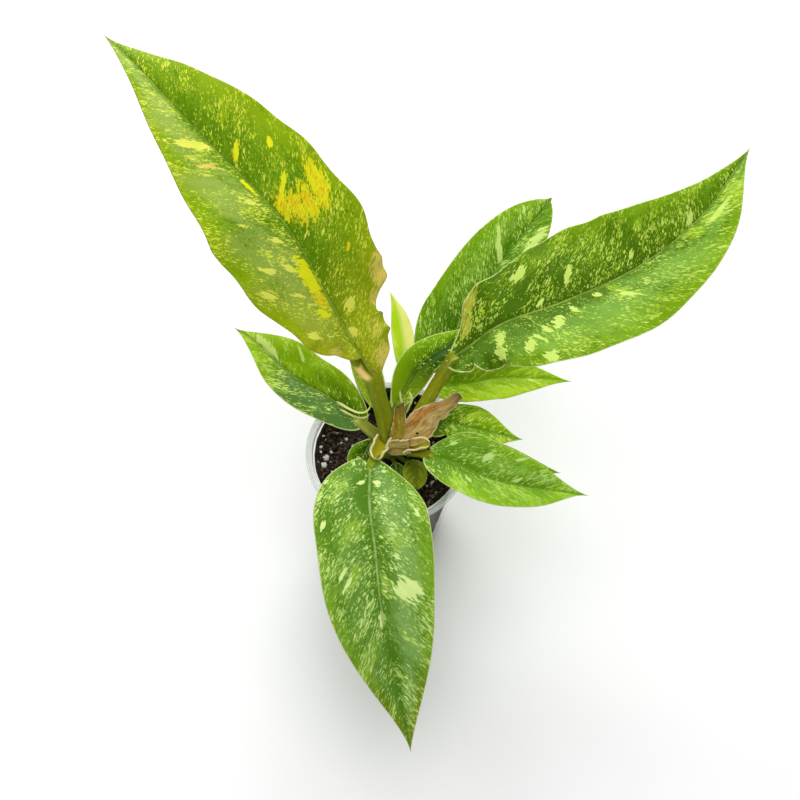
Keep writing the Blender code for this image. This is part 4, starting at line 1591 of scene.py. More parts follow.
@dataclass(frozen=True)
class PottingMix:
    """The bed of mix, with loose crumbs, perlite and fibres on top and against the wall."""

    pot: Pot
    edge: float = 47.5
    mound: float = 2.5
    # bank and back_bank heap the dark mix up the clear wall, most at the back, so that dark mix fills where
    # the wall would otherwise show the pale floor: a dark stand-in for shade seen through the plastic.
    bank: float = 5.8
    back_bank: float = 3.2
    gap: float = 0.3
    stem_place: tuple[float, float] = STEM_PLACE
    stem_radius: float = 5.15
    turns: int = 200
    rows: int = 46
    drops: int = 60
    rough_depth: float = 1.1
    seed: int = 11
    fibre_count: int = 90
    white_bits: tuple[tuple[float, float, float], ...] = (
        (-24.4, 0.2, 1.5), (-25.0, -3.4, 1.4), (-18.2, 7.6, 0.9), (17.7, -10.5, 1.4), (-22.5, 3.4, 0.8),
        (-18.7, -3.8, 0.6), (19.3, -8.3, 0.9), (15.5, -11.5, 0.8), (-16.4, 9.2, 0.8),
    )

    def from_stem(self, x: float, y: float) -> float:
        """How far a place is from the stem's axis."""
        return math.hypot(x - self.stem_place[0], y - self.stem_place[1])

    def top(self, x: float, y: float) -> float:
        """How high the bed's top is.

        Args:
            x: The place, to the right.
            y: The place, to the back.

        Returns:
            The height.
        """
        share = min(1.0, math.hypot(x, y) / self.pot.inner_radius(self.edge))
        lump = noise.fractal(Vector((x * 0.22, y * 0.22, 3.0)), 0.9, 2.1, 4)
        fine = noise.noise(Vector((x * 0.9, y * 0.9, 9.0)))
        # Mix heaped against the wall, more at the back: a dark stand-in for shade seen through the clear
        # wall.
        behind = max(0.0, y / (math.hypot(x, y) + 0.1))
        bank = self.bank * share**8 + self.back_bank * share**5 * min(1.0, behind * 1.3) ** 2
        level = self.edge + self.mound * (1 - share**2) + bank - 0.5
        return level + self.rough_depth * (0.55 * lump + 0.3 * fine)

    def bed(self) -> Shape:
        """Build the bed round the stem's foot, down its side and across its floor.

        Returns:
            A closed ring round the stem.
        """
        angle = 2 * np.pi * np.arange(self.turns) / self.turns
        wall = self.pot.inner_radius(self.edge) - self.gap
        brims = [self.top(wall * math.cos(turn), wall * math.sin(turn)) for turn in angle.tolist()]
        reach = np.array([self.pot.inner_radius(brim) - self.gap for brim in brims])
        stem_x = self.stem_place[0] + self.stem_radius * np.cos(angle)
        stem_y = self.stem_place[1] + self.stem_radius * np.sin(angle)
        rings = []
        for share in [row / (self.rows - 1) for row in range(self.rows)]:
            x = stem_x * (1 - share) + reach * np.cos(angle) * share
            y = stem_y * (1 - share) + reach * np.sin(angle) * share
            rings.append([(a, b, self.top(a, b)) for a, b in zip(x.tolist(), y.tolist())])
        low = self.pot.floor + self.gap
        for drop in range(1, self.drops + 1):
            ring = []
            for turn, brim in zip(angle.tolist(), brims):
                height = brim - 0.8 - (brim - 0.8 - low) * drop / self.drops
                corner = max(0.0, 1 - (height - low) / self.pot.inner_round) * self.pot.inner_round
                radius = self.pot.inner_radius(max(height, low + self.pot.inner_round)) - self.gap - corner
                x, y = radius * math.cos(turn), radius * math.sin(turn)
                lump = noise.fractal(Vector((x * 0.3, y * 0.3, height * 0.3)), 0.9, 2.0, 4)
                inset = 0.9 * max(0.0, 0.25 + lump) + 0.1
                ring.append((x * (1 - inset / radius), y * (1 - inset / radius), height))
            rings.append(ring)
        rings.append([(a, b, ring[-1][2]) for a, b in zip(stem_x.tolist(), stem_y.tolist())])
        first = np.arange(len(rings))[:, None] * self.turns
        here = np.arange(self.turns)[None, :]
        after, there = np.roll(first, -1), np.roll(here, -1)
        quads = np.stack([first + here, after + here, after + there, first + there], -1)
        return Shape(np.array(rings).reshape(-1, 3), [tuple(quad) for quad in quads.reshape(-1, 4).tolist()])

    def bits(self, scatter: Scatter) -> Shape:
        """Build the loose bits of one kind.

        Args:
            scatter: The kind.

        Returns:
            One shape of many closed bits, with bit_tone.
        """
        rng = np.random.default_rng(scatter.seed)
        cage = bmesh.new()
        bmesh.ops.create_icosphere(cage, subdivisions=1, radius=1.0)
        ball = np.array([vert.co for vert in cage.verts])
        skin = [tuple(vert.index for vert in face.verts) for face in cage.faces]
        cage.free()
        shapes = []
        wall = self.pot.inner_radius(self.edge) - self.gap
        places = list(scatter.fixed)
        while len(places) < scatter.count + len(scatter.fixed):
            reach, turn = math.sqrt(rng.uniform(0.03, 1.0)) * (wall - 0.8), rng.uniform(0, 2 * math.pi)
            x, y = reach * math.cos(turn), reach * math.sin(turn)
            if self.from_stem(x, y) < self.stem_radius + 0.4:
                continue
            size = scatter.smallest + (scatter.largest - scatter.smallest) * rng.uniform() ** 2.2
            places.append((x, y, size))
        for x, y, size in places:
            long, wide = scatter.stretch ** rng.uniform(0, 1), rng.uniform(0.6, 1.0)
            sizes = size * np.array([long, wide, rng.uniform(0.4, 0.8)])
            jitter = 1 + rng.normal(0, 0.14, len(ball))[:, None]
            turn = np.linalg.qr(np.eye(3) * 1.4 + rng.normal(0, 0.35, (3, 3)))[0]
            spin = rng.uniform(0, 2 * np.pi)
            around = np.array([[np.cos(spin), -np.sin(spin), 0], [np.sin(spin), np.cos(spin), 0], [0, 0, 1]])
            points = (ball * jitter * sizes) @ turn.T @ around.T
            reach = math.hypot(x, y) + np.abs(points[:, :2]).max()
            if reach > wall:
                inward = (wall - reach + math.hypot(x, y)) / wall
                x, y = x * inward, y * inward
            points = points + (x, y, self.top(x, y) + sizes[2] * 0.35)
            tone = np.zeros((len(points), 3))
            tone[:, 0] = rng.uniform()
            shapes.append(Shape(points, skin, {"bit_tone": tone}))
        return Shape.join(shapes)

    def build(self) -> None:
        """Build and dress the bed and its loose bits."""
        self.bed().piece("mix_bed", "potting_mix", "potting_mix", MixFinish().material())
        bark = CrumbFinish("mix_bark", ((0.0, (0.008, 0.006, 0.005)), (0.55, (0.03, 0.017, 0.012)),
                                        (0.86, (0.08, 0.04, 0.025)), (1.0, (0.26, 0.16, 0.1))), 0.55)
        fibre = CrumbFinish("mix_fibre", ((0.0, (0.06, 0.024, 0.014)), (0.6, (0.17, 0.07, 0.035)),
                                          (1.0, (0.36, 0.2, 0.11))), 0.7)
        perlite_stops = ((0.0, (0.64, 0.61, 0.54)), (1.0, (0.95, 0.93, 0.88)))
        perlite = CrumbFinish("mix_perlite", perlite_stops, 0.9, 1.8, 0.4)
        for scatter in (
            Scatter("mix_crumbs", 5200, 0.14, 0.75, 2.2, bark, 21),
            Scatter("mix_bark_bits", 60, 0.7, 1.5, 2.4, bark, 22),
            Scatter("mix_perlite_grains", 60, 0.4, 1.2, 1.3, perlite, 23, self.white_bits),
            Scatter("mix_glints", 420, 0.09, 0.24, 1.8, perlite, 24),
        ):
            self.bits(scatter).piece(scatter.name, "potting_mix", "potting_mix", scatter.finish.material())
        self.fibres().piece("mix_fibres", "potting_mix", "potting_mix", fibre.material())

    def fibres(self) -> Shape:
        """Build the thin bent fibres that lie on the mix.

        Returns:
            One shape of many closed strands, with bit_tone.
        """
        rng = np.random.default_rng(self.seed)
        wall = self.pot.inner_radius(self.edge) - 2.0
        turn = np.linspace(np.pi, -np.pi, 6, endpoint=False)
        strands = []
        while len(strands) < self.fibre_count:
            reach, around = math.sqrt(rng.uniform(0.05, 1.0)) * wall, rng.uniform(0, 6.28)
            heading, length, bend = rng.uniform(0, 6.28), rng.uniform(2.0, 7.0), rng.normal(0, 0.5)
            radius, tone = rng.uniform(0.09, 0.2), rng.uniform()
            x, y = reach * math.cos(around), reach * math.sin(around)
            route = []
            for step in range(5):
                if math.hypot(x, y) < wall:
                    route.append((x, y, self.top(x, y) + 0.35 + 0.5 * math.sin(step * 1.3 + tone * 6)))
                x, y = x + math.cos(heading) * length / 4, y + math.sin(heading) * length / 4
                heading += bend
            nearest = min((self.from_stem(a, b) for a, b, _ in route), default=0.0)
            if len(route) < 3 or nearest < self.stem_radius + 0.6:
                continue
            spine = Spine(tuple(route))
            centre, side, face = spine.frame(np.linspace(0, 1, 14)[:, None])
            rings = centre + radius * (side * np.sin(turn)[:, None] - face * np.cos(turn)[:, None])
            poles = spine.place(np.array([0.0, 1.0]))
            tones = np.full(rings.shape, tone), np.full(poles.shape, tone)
            strands.append(Shape.loft(rings, poles, {"bit_tone": tones}))
        return Shape.join(strands)


@dataclass(frozen=True)
class StemFinish:
    """The short green stem, ringed with brown scars."""

    name: str = "stem_skin"
    green: Colour = (0.17, 0.26, 0.03)
    pale: Colour = (0.4, 0.42, 0.12)
    scar: Colour = (0.2, 0.11, 0.04)

    def material(self) -> bpy.types.Material:
        """Make the finish.

        Returns:
            The finished material.
        """
        g = Graph(self.name)
        place = g.place()
        _, _, height = g.split(place)
        mottle = g.noise(place, 0.5, 3.0)
        lines = g.noise(place * (1.5, 1.5, 0.2))
        body = g.mix(g.smooth(mottle, 0.4, 0.6), self.green, self.pale)
        ring = g.noise(g.join(0.0, 0.0, height * 0.8), detail=1.0)
        body = g.mix(g.smooth(ring + (lines - 0.5) * 0.4, 0.52, 0.62) * 0.7, body, self.scar)
        return g.surface({"Base Color": body, "Roughness": 0.5}, lines + ring, 0.2)


@dataclass(frozen=True)
class Stem:
    """The short stem that carries every stalk."""

    place: tuple[float, float] = STEM_PLACE
    radius: float = 5.0
    neck: float = 0.3
    dome: float = 3.0
    foot: float = 22.0
    foot_round: float = 3.0
    top: float = 63.0
    soil_edge: float = 47.5
    rings: tuple[tuple[float, float], ...] = ((54.0, 0.5), (58.0, 0.4))
    ring_half: float = 1.0
    ring_steps: int = 6
    steps: int = 72

    def build(self) -> None:
        """Build and dress the stem."""
        neck = self.radius - self.neck
        profile = []
        for radius, height in arc(0.0, 0.0, 1.0, 90, 0, 10):
            profile.append((neck * radius, self.top - self.dome + self.dome * height))
        for height, bulge in reversed(self.rings):
            for step in range(self.ring_steps + 1):
                part = step / self.ring_steps
                out = neck + bulge * math.sin(math.pi * part) ** 2
                profile.append((out, height + self.ring_half * (1 - 2 * part)))
        profile.append((self.radius, self.soil_edge))
        profile += arc(self.radius - self.foot_round, self.foot + self.foot_round, self.foot_round, 0, -90, 6)
        profile.append((0.0, self.foot))
        shape = turned(profile, self.steps, self.place)
        shape.piece("stem_body", "stem", "stem", StemFinish().material())


@dataclass(frozen=True)
class SoftLight:
    """A large soft lamp, in metres, that shows as a highlight only where it says so."""

    name: str
    place: tuple[float, float, float]
    aim: tuple[float, float, float]
    width: float
    depth: float
    power: float
    glossy: bool = True

    def build(self) -> None:
        """Set the lamp up."""
        lamp = bpy.data.lights.new(self.name, "AREA")
        lamp.shape = "RECTANGLE"
        lamp.size = self.width
        lamp.size_y = self.depth
        lamp.energy = self.power
        obj = new_object(self.name, lamp)
        obj.location = self.place
        obj.rotation_euler = (Vector(self.aim) - Vector(self.place)).to_track_quat("-Z", "Y").to_euler()
        obj.visible_glossy = self.glossy


@dataclass(frozen=True)
class Studio:
    """The camera, the lamps and the pale floor."""

    camera_place: tuple[float, float, float] = (0.005098, -0.221968, 0.448929)
    camera_tilt: float = 32.0
    lens: float = 51.6375
    floor_half: float = 1.5
    sky: float = 0.5
    lights: tuple[SoftLight, ...] = (
        SoftLight("back_window", (-0.15, 1.1, 0.75), (0.0, 0.02, 0.08), 1.3, 0.8, 17.0),
        SoftLight("top_fill", (0.1, -0.1, 1.4), (0.0, 0.0, 0.05), 1.2, 1.2, 9.0, False),
    )

    def build(self) -> None:
        """Set the stage."""
        scene = bpy.context.scene
        lens = bpy.data.cameras.new("view")
        lens.lens = self.lens
        lens.sensor_width = 36.0
        camera = new_object("view", lens)
        camera.location = self.camera_place
        camera.rotation_euler = (math.radians(self.camera_tilt), 0.0, 0.0)
        scene.camera = camera
        for light in self.lights:
            light.build()
        self.world(scene)
        self.floor()

    def world(self, scene: bpy.types.Scene) -> None:
        """Light the scene evenly from a pale sky.

        Args:
            scene: The scene.
        """
        world = bpy.data.worlds.new("pale_sky")
        world.use_nodes = True
        sky = world.node_tree.nodes["Background"]
        sky.inputs["Color"].default_value = (1.0, 1.0, 1.0, 1.0)
        sky.inputs["Strength"].default_value = self.sky
        world.cycles_visibility.glossy = False
        scene.world = world
        scene.view_settings.view_transform = "Standard"

    def floor(self) -> None:
        """Lay the floor under the pot."""
        half = self.floor_half
        mesh = bpy.data.meshes.new("floor")
        corners = [(-half, -half, 0.0), (half, -half, 0.0), (half, half, 0.0), (-half, half, 0.0)]
        mesh.from_pydata(corners, [], [(0, 1, 2, 3)])
        g = Graph("pale_floor")
        tone = g.mix(g.noise(g.place(), 0.02), (0.86, 0.86, 0.86), (0.9, 0.9, 0.9))
        mesh.materials.append(g.surface({"Base Color": tone, "Roughness": 0.7, "Specular IOR Level": 0.2}))
        new_object("floor", mesh)


OLIVE_STALK = StalkFinish("stalk_olive")
SHEATH_SKIN = StalkFinish("sheath_skin", olive=(0.34, 0.32, 0.03), green=(0.27, 0.29, 0.012),
                          pale=(0.56, 0.5, 0.08), inside=(0.45, 0.42, 0.008), cream=(0.74, 0.65, 0.3))
CREAM_CURL = StalkFinish("curl_cream", olive=(0.56, 0.62, 0.16), green=(0.64, 0.68, 0.24),
                         pale=(0.76, 0.74, 0.4), red=(0.5, 0.52, 0.1))

UPPER_LEFT = Leaf(
    "leaf_upper_left", "leaf_olive",
    Stalk(((1, 4, 57), (0.3, 2.4, 63), (-1.4, 7.2, 73), (-4.9, 12, 90)), 3.0, 3.4),
    Blade(
        rib=((-4.9, 12, 90), (-21, 26, 124), (-36, 42, 146), (-62, 63, 163), (-84, 85, 172),
             (-101, 105, 172)),
        left=Margin(29.5, 0.46, 1.1, 1.2, 1.5), right=Margin(26, 0.36, 0.65, 3.4, 2.0),
        lobe=4, wave=Wave(2.0, 1.6, 7, 0.0, 3.3), seed=1,
        ruffles=(Ruffle(Side.LEFT, 0.12, 0.09, 1.0, 0.05, 0.8), Ruffle(Side.RIGHT, 0.12, 0.1, 1.2, 0.05)),
        dents=(Dent(Side.RIGHT, 0.138, 4.6, 0.017), Dent(Side.RIGHT, 0.178, -2.0, 0.026),
               Dent(Side.RIGHT, 0.096, 2.0, 0.02), Dent(Side.RIGHT, 0.042, -2.4, 0.025),
               Dent(Side.LEFT, 0.05, 10.0, 0.034), Dent(Side.LEFT, 0.105, 1.6, 0.035)),
        marks=(
            *patches(Tone.CREAM, (0.652, -0.325, 13, 4.5), (0.49, -0.2, 6, 4), (0.46, -0.475, 6, 2),
                     (0.394, -0.25, 5, 2.5), (0.348, -0.575, 7, 3), (0.329, -0.3, 6, 3),
                     (0.31, -0.775, 7, 3), (0.185, 0.24, 7, 5, 0.0), (0.125, 0.15, 4, 5, 0.0),
                     (0.19, -0.725, 6, 4), (0.27, -0.42, 5, 2)),
            *patches(Tone.PEACH, (0.6, -0.36, 7, 2.5), (0.2, 0.95, 14, 17, 0.3), (0.155, 0.85, 9, 8, 0.3),
                     (0.1, 0.7, 10, 7, 0.3), (0.12, -0.92, 8, 4, 0.3), (0.035, 0.8, 11, 9, 0.3)),
            *patches(Tone.YELLOW, (0.587, 0.2, 8, 2.4), (0.552, 0.625, 4, 3), (0.47, 0.3, 12, 2.4),
                     (0.516, -0.05, 2.4, 9), (0.29, -0.11, 8, 16), (0.205, -0.25, 6, 4)),
            *patches(Tone.ORANGE, (0.578, 0.12, 3, 2), (0.432, 0.72, 13, 11), (0.417, 0.45, 8, 12),
                     (0.422, 0.28, 7.5, 12), (0.438, 0.12, 6.5, 10), (0.232, -0.13, 6, 8),
                     (0.3, 0.6, 3, 2)),
            *patches(Tone.LIME, (0.665, 0.5, 10, 5), (0.5, 0.88, 12, 6), (0.12, 0.5, 22, 20, 0.3)),
        ),
    ),
    LeafFinish(
        deep=(0.09, 0.21, 0.001), green=(0.2, 0.36, 0.001), border=(0.3, 0.42, 0.003),
        grey_sheen=(0.3, 0.43, 0.075), fleck=(0.62, 0.76, 0.012), cream=(0.76, 0.78, 0.11),
        peach=(0.86, 0.64, 0.14), tan=(0.45, 0.45, 0.005), rim=(0.3, 0.3, 0.03), left_grey_sheen=0.85,
        right_grey_sheen=0.05, left_half_tone_and_light=0.15, right_half_tone_and_light=-0.03, grey_sheen_spread=1.6, grey_sheen_over=0.4, flecks=0.8,
        base_dark=0.0, border_share=0.45, tan_share=0.6, tan_reach=0.36, rib_width=0.35, rib_show=0.4,
    ),
    StalkFinish("stalk_upper_left", olive=(0.26, 0.27, 0.003), green=(0.19, 0.27, 0.003),
                scar_tone=(0.95, 0.68, 0.23), scar=(0.6, 39.8, 3.0)),
)

UPPER_RIGHT = Leaf(
    "leaf_upper_right", "leaf_dark",
    Stalk(((5, 6, 57), (12, 9.6, 66.5), (19, 17.3, 77), (25, 21, 90)), 2.9, 2.5),
    Blade(
        rib=((25, 21, 90), (42, 27, 104), (64, 28, 117), (88, 32, 131), (110, 45, 143), (130, 71, 150)),
        left=Margin(27.5, 0.36, 1.1, 2.0, 1.5), right=Margin(28.5, 0.44, 0.6, 1.7, 1.4),
        lobe=4, wave=Wave(1.6, 0.6, 7, 0.0), seed=2,
        ruffles=(Ruffle(Side.RIGHT, 0.06, 0.05, 1.6, 0.04, 1.0),
                 Ruffle(Side.LEFT, 0.14, 0.08, 0.6, 0.06, 1.2)),
        dents=(Dent(Side.RIGHT, 0.064, 3.6, 0.012), Dent(Side.RIGHT, 0.14, 2.0, 0.025),
               Dent(Side.LEFT, 0.12, -1.3, 0.03)),
        marks=(
            *patches(Tone.CREAM, (0.242, -0.68, 8, 6, 0.4), (0.379, -0.34, 9, 3, 0.5),
                     (0.737, -0.15, 6, 3.5), (0.148, 0.72, 9, 7, 0.2), (0.158, 0.36, 8, 4.5, 0.2),
                     (0.256, 0.65, 8, 5, 0.2), (0.306, 0.9, 6, 5, 0.3), (0.333, 0.35, 7, 4.5, 0.2),
                     (0.8, 0.35, 2.5, 12, 0.2), (0.3, 0.42, 6, 2), (0.283, 0.55, 7, 2),
                     (0.375, 0.225, 5, 2.4), (0.287, -0.1, 5, 3), (0.51, 0.34, 9, 2.4), (0.56, -0.22, 5, 2),
                     (0.44, 0.13, 4, 2.4)),
            *patches(Tone.LIME, (0.71, 0.1, 9, 6), (0.779, 0.3, 9, 7), (0.87, 0.8, 14, 14),
                     (0.5, 0.22, 12, 3.5), (0.62, -0.6, 5, 4), (0.665, -0.6, 10, 2.2)),
            *patches(Tone.GOLD, (0.115, -0.85, 17, 5.5), (0.08, -0.58, 9, 5)),
        ),
    ),
    LeafFinish(
        deep=(0.055, 0.13, 0.001), green=(0.115, 0.245, 0.001), border=(0.26, 0.45, 0.008),
        grey_sheen=(0.2, 0.4, 0.055), fleck=(0.48, 0.68, 0.02), cream=(0.52, 0.68, 0.14), gold=(0.42, 0.43, 0.03),
        left_grey_sheen=0.06, right_grey_sheen=0.65, left_half_tone_and_light=-0.42, right_half_tone_and_light=-0.15, tip_lift=0.85, base_dark=0.8,
        base_reach=0.52, border_share=0.4, flecks=0.85, rib_width=0.45, rib_show=0.55, rim_reach=0.3,
    ),
    StalkFinish("stalk_upper_right", olive=(0.3, 0.29, 0.006), green=(0.21, 0.27, 0.005)),
)

BACK_RIGHT = Leaf(
    "leaf_back_right", "leaf_green",
    Stalk(((3, 9, 55.5), (6, 15, 59.5), (11, 24, 64), (17, 33, 68)), 1.8, 1.5),
    Blade(
        rib=((17, 33, 68), (31, 49, 79), (45, 66, 91), (65, 89, 102)),
        left=Margin(17, 0.26, 0.5, 3.2, 0.6), right=Margin(14, 0.3, 0.5, 3.0, 0.7), point=1.5, seed=3,
        vein_slope=0.9,
        marks=(
            *patches(Tone.CREAM, (0.656, -0.25, 14, 3.6), (0.62, -0.1, 6, 2.5), (0.79, 0.58, 5, 12, 0.2),
                     (0.883, -0.55, 4, 2)),
            *patches(Tone.LIME, (0.88, -0.2, 8, 2)),
        ),
    ),
    LeafFinish(
        deep=(0.062, 0.175, 0.001), green=(0.145, 0.31, 0.004), border=(0.26, 0.46, 0.012),
        grey_sheen=(0.19, 0.37, 0.045), fleck=(0.42, 0.62, 0.03), cream=(0.52, 0.7, 0.18), left_grey_sheen=0.35,
        right_grey_sheen=0.2, border_share=0.3, flecks=0.9, tip_start=0.999, rib_width=0.3, rib_show=0.4,
    ),
)

FRONT = Leaf(
    "leaf_front", "leaf_green",
    Stalk(((0, 1, 55), (-3, -3, 59.5), (-5, -8, 62.5), (-6.3, -11.8, 64.6)), 3.0, 1.8),
    Blade(
        rib=((-6.3, -11.8, 64.8), (-6.2, -30, 70), (-4, -47, 69), (-2, -65, 64), (2, -83, 55), (9, -112, 36)),
        left=Margin(21, 0.26, 0.72, 2.7, 1.4), right=Margin(21, 0.24, 0.5, 2.9, 1.8), lobe=5.5, seed=4,
        vein_slope=0.35, vein_turn=1.3, vein_bend=0.1,
        marks=(
            *patches(Tone.CREAM, (0.48, -0.52, 12, 9.5, 0.2), (0.083, 0.2, 3.5, 2.6), (0.083, -0.2, 4, 3),
                     (0.413, 0.625, 5, 2.2), (0.445, 0.55, 5, 2.2), (0.24, 0.85, 3, 2),
                     (0.235, -0.8, 3, 2.6), (0.56, 0.03, 3, 6), (0.16, -0.3, 5, 2)),
            *patches(Tone.LIME, (0.465, -0.16, 7, 8, 0.3), (0.27, 0.36, 12, 9, 0.6),
                     (0.305, -0.38, 10, 7, 0.6), (0.125, 0.62, 10, 6), (0.11, 0.7, 7, 5), (0.42, 0.4, 9, 6),
                     (0.64, -0.45, 8, 3), (0.7, 0.75, 12, 9), (0.74, -0.1, 8, 2.5)),
            *patches(Tone.ORANGE, (0.556, 1.0, 1.2, 3)),
        ),
    ),
    LeafFinish(
        deep=(0.078, 0.195, 0.009), green=(0.165, 0.335, 0.02), border=(0.25, 0.43, 0.022),
        grey_sheen=(0.215, 0.39, 0.1), fleck=(0.46, 0.68, 0.12), cream=(0.66, 0.82, 0.3), tan=(0.15, 0.22, 0.001),
        left_grey_sheen=0.8, right_grey_sheen=0.25, left_half_tone_and_light=0.1, right_half_tone_and_light=-0.1, tip_lift=-0.1, base_dark=0.5,
        flecks=0.85, border_share=0.4, tan_tip=0.9, rib_width=0.6, rib_show=0.55, rib_to=0.56,
        rib=(0.42, 0.6, 0.2),
    ),
)

